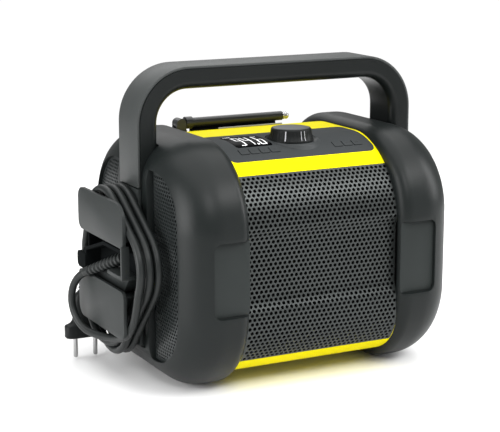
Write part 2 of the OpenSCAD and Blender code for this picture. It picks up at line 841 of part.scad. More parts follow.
module cord_bracket() color(charcoal) placed() difference() {
    union() {
        // foot against the handle's leg
        translate([-handle_reach, -handle_half + 1, leg_low + 2])
            cube([strip_t, handle_d - 2, strip_left_low - leg_low - 3]);
        spool(upper_plate_z + 4, 200);
        spool(lower_plate_z + 5, lower_plate_z + plate_h);
        along_x(-plate_in - plate_t, -plate_in)
            plate_outline(-plate_front, plate_back, upper_plate_z, upper_plate_z + plate_h,
                          [4, 8, 10, 15]);
        along_x(-plate_in - plate_t, -plate_in)
            plate_outline(-plate_front, plate_back + 2, lower_plate_z, lower_plate_high, [9, 11, 6, 6]);
        // shelf that closes the recess below and in front, on a block that stands on the foot
        translate([-hook_x, -plate_front, shelf_z]) cube([hook_x - handle_reach, 32, shelf_t]);
        translate([-hook_x, -plate_front, shelf_z])
            cube([hook_x - plate_in + shelf_t, shelf_t, upper_plate_z + 2 - shelf_z]);
        along_x(-plate_in + block_in, -handle_reach)
            polygon([[-plate_front + 3, shelf_z + 1], [-34, shelf_low], [hood_y - 2, shelf_low],
                     [hood_y - 2, shelf_low + 3], [-12, shelf_z + 1]]);
    }
    for (z = bracket_screw_zs)
        rod_x(-handle_reach - 12, -handle_reach + 10, 0, z, screw_r + run_gap);
    boot_place() translate([0, 0, -3]) cylinder(h = boot_len + 3, r = boot_r + seat_gap);
}

// Height of the recess's roof at a place along the depth
function roof(y) = min(hood_top, hood_top - (y + 6) * tan(hood_slope));

// The recess's back wall, roof and end, with a flat plate beside it, from the end
module hood_outline(low, y1)
    polygon([[-plate_front + 3.2, shelf_z + shelf_t + seat_gap], [-10, shelf_z + shelf_t + seat_gap],
             [hood_y - 8, low], [y1, low], [y1, roof(y1)], [-6, hood_top],
             [-plate_front + 3.2, hood_top]]);

// Dark recess that the cord comes out of, open to the left
module cord_outlet() color(black) placed() {
    difference() {
        along_x(-plate_in - plate_t, -handle_reach) hood_outline(hook_z, hood_y);
        along_x(-plate_in - 10, -plate_in + hood_in) difference() {
            translate([0, -hood_t]) hood_outline(hook_z, hood_y);
            translate([hood_y - 6, 0]) square(200);
        }
        // hole that the strain relief comes out of
        boot_place() translate([0, 0, -3]) cylinder(h = 40, r = boot_r + seat_gap);
    }
    along_x(-hook_x, -plate_in - 1)
        plate_outline(hood_y - 6, hook_y, hook_z, roof(hook_y), [2, 5, 4, 2]);
}

module boot_place() translate(boot_root) rotate([-90 - boot_drop, 0, boot_turn]) children();

// Ribbed strain relief, out of the recess towards the back and down
module cord_boot() color(black) placed() boot_place() {
    cylinder(h = boot_len, r1 = boot_r - 0.8, r2 = cord_d / 2 + 0.4);
    for (i = [0:7]) translate([0, 0, 2 + i * 6.6])
        cylinder(h = 3.2, r = boot_r - i * 0.2);
}

// ---- Cord: a swept tube, and the outer form of the winding ----

function unit(v) = v / norm(v);
function along(p, i) = unit(p[min(i + 1, len(p) - 1)] - p[max(i - 1, 0)]);
function ring(c, t, r, n) =
    let (side = unit(cross(t, [0.3, 0.2, 1])), up = cross(side, t))
    [for (k = [0:n - 1]) c + r * (cos(k * 360 / n) * side + sin(k * 360 / n) * up)];

module tube(p, r, n) {
    points = [for (i = [0:len(p) - 1]) each ring(p[i], along(p, i), r, n)];
    last = (len(p) - 1) * n;
    polyhedron(points, concat(
        [[for (k = [0:n - 1]) k]],
        [[for (k = [n - 1:-1:0]) last + k]],
        [for (i = [0:len(p) - 2], k = [0:n - 1])
            [i * n + k, (i + 1) * n + k, (i + 1) * n + (k + 1) % n, i * n + (k + 1) % n]]));
}

module cord_tail() color(black) placed() tube(tail_points, cord_d / 2, cord_sides);
module cord_lead() color(black) placed() tube(lead_points, cord_d / 2, cord_sides);

module coil_shape(inset)
    hull() for (c = coil_corners)
        translate([c[0], c[1]]) circle(c[2] - inset, $fn = 48);

module cord_coil() color(black) placed()
    along_x(-plate_in, -handle_reach - coil_clear)
        difference() { coil_shape(0); coil_shape(coil_build); }

// ---- Plug ----

module plug_body() color(black) placed() translate([-plug_x, plug_y, plug_low + pin_len]) {
    rounded_box(-flange_w / 2, flange_w / 2, -flange_d / 2, flange_d / 2, 0, flange_h, 5);
    translate([0, 0, flange_h]) rounded_box(-11, 11, -6, 6, 0, plug_body_h, 4);
    translate([0, 0, flange_h + plug_body_h]) cylinder(h = plug_boot_h, r1 = 5, r2 = 4.2);
}

module plug_pins() color(bright) placed()
    for (side = [-1, 1])
        translate([-plug_x + side * pin_pitch / 2, plug_y, plug_low])
            cylinder(h = pin_len, r = pin_r);

// ---- Aerial ----

module aerial_tray() color(dark) placed() {
    x0 = -aerial_x + turret_r + 7;
    translate([x0, recess_front + seat_gap, recess_floor])
        cube([recess_right - seat_gap - x0, 7, 1]);
    translate([x0, recess_front + seat_gap, recess_floor])
        cube([recess_right - seat_gap - x0, 1.2, 2.9]);
}

module aerial_turret() color(black) placed() translate([-aerial_x, aerial_y, 0])
    difference() {
        union() {
            translate([0, 0, barrel_high - 17.7])
                cylinder(h = turret_top - barrel_high + 17.7, r = turret_r);
            for (side = [-1, 1]) {
                y0 = side > 0 ? eye_w / 2 + move_gap : -eye_w / 2 - move_gap - ear_t;
                rod_y(0, y0, y0 + ear_t, aerial_axis, eye_r);
                translate([-eye_r, y0, turret_top - 1])
                    cube([2 * eye_r, ear_t, aerial_axis - turret_top + 1]);
            }
        }
        rod_y(0, -20, 20, aerial_axis, hinge_r);
    }

module aerial_pin() color(bright) placed() {
    half = eye_w / 2 + move_gap + ear_t;
    rod_y(-aerial_x, aerial_y - half, aerial_y + half, aerial_axis, hinge_r);
}

module aerial_knuckle() color(black) placed() translate([-aerial_x, aerial_y, aerial_axis])
    difference() {
        union() {
            rod_y(0, -eye_w / 2, eye_w / 2, 0, eye_r);
            translate([0, -eye_w / 2, -3.5]) cube([eye_r + 2, eye_w, 7]);
            rod_x(eye_r + move_gap + 0.4, knuckle_len, 0, 0, knuckle_r);
        }
        rod_y(0, -20, 20, 0, hinge_r + run_gap);
    }

module aerial_sleeve() color(black) placed() difference() {
    rod_x(sleeve_start, sleeve_start + sleeve_len, aerial_y, aerial_axis, sleeve_r);
    rod_x(tube_start - 1, sleeve_start + sleeve_len + 1, aerial_y, aerial_axis,
          tube_r + run_gap);
}

module aerial_tube() color(bright) placed()
    rod_x(tube_start, sleeve_start + sleeve_len + 0.5, aerial_y, aerial_axis, tube_r);

module aerial_tip() color(bright) placed()
    translate([sleeve_start + sleeve_len + 0.5, aerial_y, aerial_axis]) rotate([0, 90, 0])
        rotate_extrude() polygon([[0, 0], [2.6, 0], [2.6, 0.8], [3.5, 1.2], [3.5, 2.2],
            [2.9, 2.6], [2.9, 3.2], [3.5, 3.6], [3.5, 4.6], [3.1, tip_len - 0.6],
            [2, tip_len], [0, tip_len]]);

// ---- Speakers ----

// Right speaker; the left one is its mirror image. Each faces out through its end.
module speaker_turn(x) translate([x, 0, speaker_z]) rotate([0, -90, 0]) children();

module speaker_basket() speaker_turn(shell_end - end_wall)
    difference() {
        rotate_extrude() polygon([[0, basket_depth], [0, basket_depth - 3],
            [magnet_r - 6, basket_depth - 3], [speaker_hole_r - 6, speaker_rim_t],
            [speaker_hole_r - 3, 0], [speaker_rim_r, 0], [speaker_rim_r, speaker_rim_t],
            [speaker_hole_r - 3, speaker_rim_t], [magnet_r - 4, basket_depth]]);
        for (i = [0:3]) rotate(45 + i * 90) translate([40, 0, -1])
            cylinder(h = basket_depth - 4, r = 9);
    }

module speaker_cone() speaker_turn(shell_end - end_wall)
    rotate_extrude() polygon([[0, cone_depth - 4], [9, cone_depth - 1], [16, cone_depth],
        [speaker_hole_r - 9, 2.6], [speaker_hole_r - 6.5, 0.6], [speaker_hole_r - 4.4, 0.9],
        [speaker_hole_r - 5.6, 2.3], [speaker_hole_r - 8.4, 3.8], [16, cone_depth + 1.2],
        [0, cone_depth + 1.2]]);

module speaker_magnet() speaker_turn(shell_end - end_wall - basket_depth) {
    cylinder(h = magnet_t, r = magnet_r);
    cylinder(h = magnet_t + magnet_step, r = magnet_r - 8);
}

module left_speaker_basket() color(dark) placed() mirror([1, 0, 0]) speaker_basket();
module left_speaker_cone() color(black) placed() mirror([1, 0, 0]) speaker_cone();
module left_speaker_magnet() color("dimgray") placed() mirror([1, 0, 0]) speaker_magnet();
module right_speaker_basket() color(dark) placed() speaker_basket();
module right_speaker_cone() color(black) placed() speaker_cone();
module right_speaker_magnet() color("dimgray") placed() speaker_magnet();

// ---- Boards ----

module main_board() color("darkgreen") placed()
    translate([-main_half, main_y0, main_z]) cube([2 * main_half, main_y1 - main_y0, board_t]);

module mains_transformer() color("dimgray") placed() {
    translate([-core_w / 2, main_y0 + 12, barrel_low + wall]) cube([core_w, core_d, core_h]);
    translate([-core_w / 2 + 9, main_y0 + 6, barrel_low + wall + 5])
        cube([core_w - 18, core_d + 12, core_h - 10]);
}

// ---- Back ----

module rear_panel() color(dark) placed() difference() {
    union() {
        translate([-back_w / 2, barrel_half - back_t, back_low]) cube([back_w, back_t, back_h]);
        // ears that carry the flap's pin
        for (x = [flap_x - flap_w / 2 - 3, flap_x + flap_w / 2 + move_gap])
            translate([x, 0, 0]) {
                rod_x(0, 3 - move_gap, flap_pin_y, flap_pin_z, flap_knuckle_r);
                translate([0, barrel_half - 0.5, flap_pin_z - flap_knuckle_r])
                    cube([3 - move_gap, flap_pin_y - barrel_half + 0.5, 2 * flap_knuckle_r]);
            }
    }
    rod_x(-back_w, back_w, flap_pin_y, flap_pin_z, flap_pin_r);
    translate([flap_x - socket_w / 2 + 3, barrel_half - 5, socket_z - socket_h / 2 + 2])
        cube([socket_w - 6, 10, socket_h - 4]);
    // cooling slots
    for (i = [0:6]) translate([-42, barrel_half - 5, back_low + 10 + i * 6])
        cube([34, 10, 2.5]);
}

module socket_block() color(black) placed() difference() {
    translate([flap_x - socket_w / 2, barrel_half - back_t - socket_d, socket_z - socket_h / 2])
        cube([socket_w, socket_d, socket_h]);
    rod_y(flap_x - 9, barrel_half - socket_d, barrel_half + 1, socket_z, aux_r);
    translate([flap_x + 7 - port_w / 2, barrel_half - 12, socket_z - port_h / 2])
        cube([port_w, 20, port_h]);
}

module socket_flap() color(charcoal) placed() difference() {
    union() {
        rod_x(flap_x - flap_w / 2 + move_gap, flap_x + flap_w / 2 - move_gap, flap_pin_y,
              flap_pin_z, flap_knuckle_r);
        translate([flap_x - flap_w / 2 + move_gap, barrel_half + move_gap, flap_pin_z - flap_h])
            cube([flap_w - 2 * move_gap, flap_t, flap_h]);
        translate([flap_x - 7, barrel_half + move_gap + flap_t, flap_pin_z - flap_h])
            cube([14, 1.5, 2]);
    }
    rod_x(-back_w, back_w, flap_pin_y, flap_pin_z, flap_pin_r + run_gap);
}

module flap_pin() color(bright) placed()
    rod_x(flap_x - flap_w / 2 - 3, flap_x + flap_w / 2 + 3, flap_pin_y, flap_pin_z, flap_pin_r);

// ---- Screws ----

module case_screws() color(bright) placed()
    for (x = [-boss_x, boss_x], z = [boss_low_z, boss_high_z]) {
        rod_y(x, split_y - boss_len + 5, split_y + boss_head, z, screw_r);
        rod_y(x, split_y + boss_head, split_y + boss_head + screw_head_t, z, screw_head_r);
    }

module handle_screws() color(bright) placed()
    for (side = [0, 1], y = [-leg_screw_y, leg_screw_y], z = leg_screw_zs) mirror([side, 0, 0]) {
        rod_x(shell_end - end_wall, shell_end + 6, y, z, screw_r);
        rod_x(shell_end - end_wall - screw_head_t, shell_end - end_wall, y, z, screw_head_r);
    }

module bracket_screws() color(bright) placed()
    for (z = bracket_screw_zs) {
        rod_x(-handle_reach - 11, -shell_end - screw_head_t, 0, z, screw_r);
        rod_x(-shell_end - screw_head_t, -shell_end - 0.1, 0, z, screw_head_r);
    }

front_shell();
rear_shell();
control_panel();
display_lens();
display_module();
knob_collar();
control_knob();
encoder_shaft();
encoder_bush();
key_board();
key(0);  // preset_key_1
key(1);  // preset_key_2
key(2);  // preset_key_3
key(3);  // preset_key_4
key(4);  // mode_key_1
key(5);  // mode_key_2
key(6);  // mode_key_3
front_grille();
grille_backing();
left_bumper();
right_bumper();
left_end_grille();
right_end_grille();
handle_frame();
handle_strip();
cord_bracket();
cord_outlet();
cord_boot();
cord_tail();
cord_coil();
cord_lead();
plug_body();
plug_pins();
aerial_tray();
aerial_turret();
aerial_pin();
aerial_knuckle();
aerial_sleeve();
aerial_tube();
aerial_tip();
left_speaker_basket();
left_speaker_cone();
left_speaker_magnet();
right_speaker_basket();
right_speaker_cone();
right_speaker_magnet();
main_board();
mains_transformer();
rear_panel();
socket_block();
socket_flap();
flap_pin();
case_screws();
handle_screws();
bracket_screws();
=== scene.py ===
# Jobsite radio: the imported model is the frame, and its looks are made here.
import math
from functools import partial

import bmesh
import bpy
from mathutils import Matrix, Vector


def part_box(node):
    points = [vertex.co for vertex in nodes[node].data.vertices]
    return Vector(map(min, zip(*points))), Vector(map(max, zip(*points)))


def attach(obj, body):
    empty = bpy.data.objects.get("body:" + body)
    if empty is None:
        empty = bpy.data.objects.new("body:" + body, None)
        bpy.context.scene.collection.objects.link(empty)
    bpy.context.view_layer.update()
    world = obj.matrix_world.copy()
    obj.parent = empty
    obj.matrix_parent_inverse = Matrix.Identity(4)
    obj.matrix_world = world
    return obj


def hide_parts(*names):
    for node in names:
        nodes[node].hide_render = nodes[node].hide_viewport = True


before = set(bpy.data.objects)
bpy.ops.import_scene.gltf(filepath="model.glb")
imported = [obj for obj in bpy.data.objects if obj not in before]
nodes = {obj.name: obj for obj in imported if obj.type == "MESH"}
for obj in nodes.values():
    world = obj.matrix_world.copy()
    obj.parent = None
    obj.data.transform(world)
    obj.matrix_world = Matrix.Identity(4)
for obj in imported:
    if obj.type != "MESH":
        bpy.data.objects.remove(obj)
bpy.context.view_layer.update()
scene = bpy.context.scene
mm = 0.001
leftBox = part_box("left_bumper")
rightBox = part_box("right_bumper")
middleX = (leftBox[0].x + rightBox[1].x) / 2   # middle of the casing in the frame


def at(x, y, z):
    # a point in millimetres from the middle of the casing, on the ground
    return Vector((x * mm + middleX, y * mm, z * mm))


# camera
cameraView = {"azimuth": 27.45, "elevation": 12.2, "distance": 1344.86, "aim": (-18.44, 0, 131),
              "lens": 108.43, "sensor": 36, "far": 100}


def makeCamera(view):
    turn, lift = math.radians(view["azimuth"]), math.radians(view["elevation"])
    forward = Vector((math.sin(turn) * math.cos(lift), math.cos(turn) * math.cos(lift), -math.sin(lift)))
    camera = bpy.data.objects.new("camera", bpy.data.cameras.new("camera"))
    scene.collection.objects.link(camera)
    camera.location = at(*view["aim"]) - forward * view["distance"] * mm
    camera.rotation_euler = forward.to_track_quat("-Z", "Y").to_euler()
    camera.data.lens = view["lens"]
    camera.data.sensor_width = view["sensor"]
    camera.data.clip_end = view["far"]
    scene.camera = camera


makeCamera(cameraView)
print("camera placed")


# small mesh helpers
def addObject(name, data):
    made = bpy.data.objects.new(name, data)
    scene.collection.objects.link(made)
    return made


def meshObject(name, points, faces, edges=()):
    mesh = bpy.data.meshes.new(name)
    mesh.from_pydata([tuple(p) for p in points], list(edges), faces)
    for polygon in mesh.polygons:
        polygon.use_smooth = True
    mesh.update()
    return addObject(name, mesh)


def ringFaces(ringCount, ringSize, closed=True):
    # quads between rings of points that follow each other
    faces = []
    for ring in range(ringCount - 1):
        for step in range(ringSize if closed else ringSize - 1):
            after = (step + 1) % ringSize
            faces.append((ring * ringSize + step, ring * ringSize + after,
                          (ring + 1) * ringSize + after, (ring + 1) * ringSize + step))
    return faces


def lofted(name, rings, sharp=None):
    # a skin over rings of points, closed at both ends, with its edges sharp above an angle
    size = len(rings[0])
    points = [p for ring in rings for p in ring]
    faces = ringFaces(len(rings), size)
    faces.append(tuple(reversed(range(size))))
    faces.append(tuple(range(len(points) - size, len(points))))
    made = meshObject(name, points, faces)
    fixNormals(made)
    if sharp:
        sharpenBy(made, sharp)
    return made


def fixNormals(made):
    work = bmesh.new()
    work.from_mesh(made.data)
    bmesh.ops.remove_doubles(work, verts=work.verts, dist=1e-6)
    bmesh.ops.recalc_face_normals(work, faces=work.faces)
    work.to_mesh(made.data)
    work.free()


def joined(name, pieces, sharp=None):
    # one mesh from several objects, whose own data goes
    work = bmesh.new()
    for piece in pieces:
        work.from_mesh(piece.data)
        bpy.data.objects.remove(piece)
    mesh = bpy.data.meshes.new(name)
    work.to_mesh(mesh)
    work.free()
    made = addObject(name, mesh)
    if sharp:
        sharpenBy(made, sharp)
    return made


def sharpenBy(made, degrees):
    # smooth shading that breaks at edges sharper than the angle
    mesh = made.data
    work = bmesh.new()
    work.from_mesh(mesh)
    limit = math.radians(degrees)
    for edge in work.edges:
        edge.smooth = len(edge.link_faces) != 2 or edge.calc_face_angle(0) < limit
    for face in work.faces:
        face.smooth = True
    work.to_mesh(mesh)
    work.free()


def evaluatedMesh(made):
    view = bpy.context.evaluated_depsgraph_get()
    view.update()
    return bpy.data.meshes.new_from_object(made.evaluated_get(view))


def applyModifiers(made):
    plain = evaluatedMesh(made)
    made.modifiers.clear()
    made.data = plain


def circlePoints(halfX, halfY, power, count):
    # a round outline, nearer to a rectangle the higher the power
    def place(half, share):
        return half * math.copysign(abs(share) ** (2 / power), share)

    angles = [2 * math.pi * k / count for k in range(count)]
    return [(place(halfX, math.cos(angle)), place(halfY, math.sin(angle))) for angle in angles]


def levelRing(cx, cy, z, halfX, halfY, power=2, count=40):
    return [at(cx + x, cy + y, z) for x, y in circlePoints(halfX, halfY, power, count)]


softEdges = {"weld": 2e-6, "flat": 1.0, "bevelAngle": 40, "segments": 2, "sharp": 32}


def softCopy(name, node, width):
    # a CAD node's shape with its loose triangles joined and its edges rounded
    mesh = nodes[node].data.copy()
    made = addObject(name, mesh)
    work = bmesh.new()
    work.from_mesh(mesh)
    bmesh.ops.remove_doubles(work, verts=work.verts, dist=softEdges["weld"])
    flat = math.radians(softEdges["flat"])
    bmesh.ops.dissolve_limit(work, angle_limit=flat, verts=work.verts, edges=work.edges)
    work.to_mesh(mesh)
    work.free()
    bevel = made.modifiers.new("bevel", "BEVEL")
    bevel.width = width * mm
    bevel.segments = softEdges["segments"]
    bevel.limit_method = "ANGLE"
    bevel.angle_limit = math.radians(softEdges["bevelAngle"])
    bevel.harden_normals = False
    applyModifiers(made)
    sharpenBy(made, softEdges["sharp"])
    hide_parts(node)
    return made


# node helpers, for geometry and for shaders
def startGroup(kind, name, inputs, outputs):
    group = bpy.data.node_groups.new(name, kind)
    for label, socketKind, value in inputs:
        socket = group.interface.new_socket(label, in_out="INPUT", socket_type="NodeSocket" + socketKind)
        if value is not None:
            socket.default_value = value
    for label, socketKind in outputs:
        group.interface.new_socket(label, in_out="OUTPUT", socket_type="NodeSocket" + socketKind)
    return group, group.nodes.new("NodeGroupInput"), group.nodes.new("NodeGroupOutput")


def put(tree, kind, values=None, **settings):
    # a node with its settings, and its inputs given as numbers or as links
    # a geometry node's kind is given without its first word
    node = tree.nodes.new(kind if kind.startswith(("Shader", "Function")) else "GeometryNode" + kind)
    for key, value in settings.items():
        setattr(node, key, value)
    for key, value in (values or {}).items():
        if isinstance(value, bpy.types.NodeSocket):
            tree.links.new(value, node.inputs[key])
        else:
            node.inputs[key].default_value = value
    return node


def first(tree, kind, values=None, **settings):
    return put(tree, kind, values, **settings).outputs[0]


def maths(tree, operation, one, other=0.0):
    return first(tree, "ShaderNodeMath", {0: one, 1: other}, operation=operation)


def vectorMaths(tree, operation, one, other):
    return first(tree, "ShaderNodeVectorMath", {0: one, 1: other}, operation=operation)


def split(tree, vector=None):
    # the parts of a vector, or of each point's position
    vector = vector or first(tree, "InputPosition")
    return put(tree, "ShaderNodeSeparateXYZ", {0: vector}).outputs


def meshGrid(tree, wide, tall, columns, rows):
    return first(tree, "MeshGrid", {"Size X": wide, "Size Y": tall, "Vertices X": columns,
                                                "Vertices Y": rows})


def roundCurve(tree, size):
    return first(tree, "CurvePrimitiveCircle", {"Resolution": size["Hole Sides"], "Radius": size["Hole"]})


def placeOn(tree, points, piece):
    return first(tree, "InstanceOnPoints", {"Points": points, "Instance": piece})


def compared(tree, one, operation, other):
    return first(tree, "FunctionNodeCompare", {0: one, 1: other}, data_type="FLOAT", operation=operation)


def without(tree, points, selection):
    return first(tree, "DeleteGeometry", {"Geometry": points, "Selection": selection}, domain="POINT")


def joinParts(tree, parts):
    both = put(tree, "JoinGeometry")
    for part in parts:
        tree.links.new(part, both.inputs[0])
    return both.outputs[0]


def oddRows(tree, tall, row, pitch):
    # 1 on every second row of a grid, and half a pitch sideways there
    fromLow = maths(tree, "ADD", split(tree)["Y"], maths(tree, "MULTIPLY", tall, 0.5))
    odd = maths(tree, "MODULO", maths(tree, "ROUND", maths(tree, "DIVIDE", fromLow, row)), 2.0)
    over = maths(tree, "MULTIPLY", odd, maths(tree, "MULTIPLY", pitch, 0.5))
    return odd, first(tree, "ShaderNodeCombineXYZ", {"X": over})


def finishTree(tree, whole, finish, end):
    whole = first(tree, "RealizeInstances", {0: whole})
    whole = first(tree, "SetMaterial", {"Geometry": whole, "Material": finish})
    tree.links.new(whole, end.inputs[0])


def bake(tree, holder, values):
    # runs the tree on the holder and leaves a plain mesh
    modifier = holder.modifiers.new("made", "NODES")
    modifier.node_group = tree
    for item in tree.interface.items_tree:
        if item.item_type == "SOCKET" and item.in_out == "INPUT" and item.name in values:
            modifier[item.identifier] = values[item.name]
    applyModifiers(holder)
    return holder


# strain relief: where it leaves its housing and how it points
relief = {"root": (-150, -24, 113), "length": 58, "drop": 22.7, "turn": 17.9, "wide": 6.0, "narrow": 4.1,
          "ribs": 9, "groove": 1.1, "ribsFrom": 3, "plain": 8, "sides": 28}
reliefTurn, reliefDrop = math.radians(relief["turn"]), math.radians(relief["drop"])
reliefWay = Vector((-math.sin(reliefTurn) * math.cos(reliefDrop), math.cos(reliefTurn) * math.cos(reliefDrop),
                    -math.sin(reliefDrop)))
reliefTip = Vector(relief["root"]) + reliefWay * relief["length"]


# mains lead: from the strain relief, three and a half turns round the spools, to the plug
lead = {"diameter": 6.7, "corners": [(5, 130, 41), (-38, 108, 36), (12, 60, 41), (24, 105, 32)],
        "outer": 3.7, "inner": 10.6, "spacing": 4.0, "joinAt": 114, "leaveAt": 308, "step": 8, "side": -155.4,
        # where a change of place starts and ends, each in whole turns and millimetres, and what it leads to
        "sideways": [(1, -27, 1, 17, -149.5), (1, 40, 2, -60, -142), (2, -50, 2, 5, -139.4),
                     (2, 330, 2, 392, -147.4)],
        "inward": [(1, -62, 1, -25, 1), (2, -45, 2, 2, 0)],
        "tail": [tuple(reliefTip), (-169.3, 35.6, 84.5), (-171.8, 41.4, 75.6), (-173, 43.3, 65.2),
                 (-172.6, 41.1, 54.8), (-170.8, 35.3, 46.1), (-168, 26.3, 40.2), (-164.6, 15.9, 38.1),
                 (-160.6, 2, 38.3), (-157.3, -11, 39.6), (-155.6, -24, 42.6), (-155.4, -36, 47.3),
                 (-155.4, -46.5, 54.5), (-155.4, -55, 64.5), (-155.4, -61, 77), (-155.4, -65.4, 90.9)],
        "end": [(-147.4, 52.4, 105), (-149, 55.0, 97), (-150.4, 58.5, 89.5), (-151.5, 62.1, 82),
                (-152, 65.3, 74.5), (-152, 67.2, 68.5)]}


def windingOutline(corners, inset):
    # points and outward normals round the winding, from its lowest point up the front
    def farthest(angle):
        return max(range(len(corners)), key=lambda i: corners[i][0] * math.cos(angle)
                   + corners[i][1] * math.sin(angle) + corners[i][2])
    line, steps, spacing = [], 720, 2
    for step in range(steps + 1):
        angle = math.radians(270 - 360 * step / steps)
        y, z, r = corners[farthest(angle)]
        normal = (math.cos(angle), math.sin(angle))
        point = (y + (r - inset) * normal[0], z + (r - inset) * normal[1])
        if line:
            last = line[-1][0]
            gap = math.dist(last, point)
            for part in range(1, int(gap / spacing) + 1):
                share = part * spacing / gap
                if share < 1:
                    line.append(((last[0] + (point[0] - last[0]) * share,
                                  last[1] + (point[1] - last[1]) * share), normal))
        line.append((point, normal))
    return line


def eased(value, start, end, first, second):
    share = min(1.0, max(0.0, (value - start) / (end - start)))
    share = share * share * (3 - 2 * share)
    return first + (second - first) * share


def leadRoute(sizes):
    line = windingOutline(sizes["corners"], sizes["outer"])
    lengths = [0.0]
    for a, b in zip(line, line[1:]):
        lengths.append(lengths[-1] + math.dist(a[0], b[0]))
    turn = lengths[-1]

    def changed(run, value, changes):
        # by the length run since the lowest point
        for startTurn, start, endTurn, end, target in changes:
            value = eased(run, startTurn * turn + start, endTurn * turn + end, value, target)
        return value

    points = [Vector(p) for p in sizes["tail"]]
    run = sizes["joinAt"]
    while run <= 3 * turn + sizes["leaveAt"]:
        around = run % turn
        index = next(i for i in range(len(lengths) - 1) if lengths[i + 1] >= around)
        (y0, z0), normal = line[index]
        (y1, z1), _ = line[index + 1]
        share = (around - lengths[index]) / max(1e-6, lengths[index + 1] - lengths[index])
        x = changed(run, sizes["side"], sizes["sideways"])
        down = changed(run, 0, sizes["inward"]) * (sizes["inner"] - sizes["outer"])
        points.append(Vector((x, y0 + (y1 - y0) * share - normal[0] * down,
                              z0 + (z1 - z0) * share - normal[1] * down)))
        run += sizes["step"]
    points += [Vector(p) for p in sizes["end"]]
    return points


def evenCurve(points, spacing):
    # a smooth line through the points, then set out at even spacing
    fine, parts = [], 12
    padded = [2 * points[0] - points[1]] + points + [2 * points[-1] - points[-2]]
    for p0, p1, p2, p3 in zip(padded, padded[1:], padded[2:], padded[3:]):
        for step in range(parts):
            t = step / parts
            fine.append(0.5 * (2 * p1 + (p2 - p0) * t + (2 * p0 - 5 * p1 + 4 * p2 - p3) * t * t
                               + (3 * p1 - p0 - 3 * p2 + p3) * t ** 3))
    fine.append(points[-1])
    total = sum((b - a).length for a, b in zip(fine, fine[1:]))
    count = int(total / spacing)
    result, travelled, target = [fine[0]], 0.0, total / count
    for a, b in zip(fine, fine[1:]):
        gap = (b - a).length
        while travelled + gap >= target - 1e-9 and len(result) < count:
            result.append(a + (b - a) * ((target - travelled) / gap))
            target += total / count
        travelled += gap
    result.append(fine[-1])
    return result, total


def makeLead(sizes):
    points, total = evenCurve(leadRoute(sizes), sizes["spacing"])
    data = bpy.data.curves.new("mainsLead", "CURVE")
    data.dimensions = "3D"
    spline = data.splines.new("POLY")
    spline.points.add(len(points) - 1)
    for target, point in zip(spline.points, points):
        target.co = (*at(*point), 1)
    data.bevel_depth = sizes["diameter"] / 2 * mm
    data.bevel_resolution = 5
    data.use_fill_caps = True
    return addObject("mainsLead", data), total


mainsLead, leadLength = makeLead(lead)
print("mains lead", round(leadLength), "mm")


# strain relief with its ribs
def makeRelief(sizes):
    side = reliefWay.cross(Vector((0, 0, 1))).normalized()
    up = side.cross(reliefWay)
    start = Vector(sizes["root"]) + reliefWay * 0.2
    length = sizes["length"] - 0.4
    profile = [(0, sizes["wide"] - 0.8), (0.5, sizes["wide"])]
    pitch = (length - sizes["plain"]) / sizes["ribs"]
    for ribNumber in range(sizes["ribs"]):
        low = sizes["ribsFrom"] + ribNumber * pitch
        radius = sizes["wide"] + (sizes["narrow"] - sizes["wide"]) * (low / length)
        core = radius - sizes["groove"]
        profile += [(low - 0.5, radius), (low, radius - 0.35), (low + 0.25, core), (low + pitch * 0.42, core),
                    (low + pitch * 0.5, radius - 0.4), (low + pitch * 0.58, radius - 0.06)]
    tip = sizes["narrow"]
    profile += [(length - 2.4, tip), (length - 0.5, tip - 0.1), (length, tip - 0.5)]
    rings = [[at(*(start + reliefWay * run + side * x + up * z))
              for x, z in circlePoints(radius, radius, 2, sizes["sides"])] for run, radius in profile]
    made = lofted("strainRelief", rings, 40)
    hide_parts("cord_boot")
    return made


strainRelief = makeRelief(relief)


# flat two-pin plug
plug = {"x": -152, "y": 67, "flangeLow": 20.5,
        "sections": [(0.0, 18.2, 6.2, 3.2), (0.7, 18.9, 6.8, 3.4), (2.0, 19.0, 6.95, 3.4),
                     (10.4, 19.0, 6.95, 3.4), (11.6, 18.4, 6.6, 3.2), (12.0, 17.0, 6.3, 3),
                     (13.2, 14.2, 6.0, 2.8), (15.5, 12.2, 5.9, 2.6), (19, 11.2, 5.9, 2.6),
                     (26, 10.7, 5.9, 2.6), (33, 10.4, 5.8, 2.5), (38, 9.4, 5.5, 2.4), (41, 7.6, 5.2, 2.2),
                     (42.4, 6.0, 5.0, 2), (43, 5.6, 4.9, 2), (43.4, 4.4, 4.2, 2), (44.6, 4.4, 4.2, 2),
                     (45, 5.2, 4.7, 2), (46.3, 5.1, 4.7, 2), (46.7, 4.2, 4.0, 2), (47.8, 4.2, 4.0, 2),
                     (48.2, 4.8, 4.5, 2), (49.4, 4.7, 4.4, 2), (50.4, 4.3, 4.1, 2), (51.0, 3.9, 3.8, 2)],
        "pinLow": 1.5, "pinTop": 20.5, "pinRadius": 2.0, "pinGap": 19}


def makePlug(sizes):
    rings = [levelRing(sizes["x"], sizes["y"], sizes["flangeLow"] + z, wide, deep, power)
             for z, wide, deep, power in sizes["sections"]]
    body = lofted("plugHousing", rings, 50)
    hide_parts("plug_body")
    pins = []
    for sign in (-1, 1):
        x = sizes["x"] + sign * sizes["pinGap"] / 2
        radius = sizes["pinRadius"]
        profile = [(0, radius * 0.35), (0.25, radius * 0.7), (0.9, radius * 0.94), (1.8, radius),
                   (sizes["pinTop"] - sizes["pinLow"], radius)]
        rings = [levelRing(x, sizes["y"], sizes["pinLow"] + z, r, r, count=20) for z, r in profile]
        pins.append(lofted("pin", rings))
    made = joined("plugPins", pins, 45)
    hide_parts("plug_pins")
    return body, made


plugHousing, plugPins = makePlug(plug)
print("strain relief and plug made")


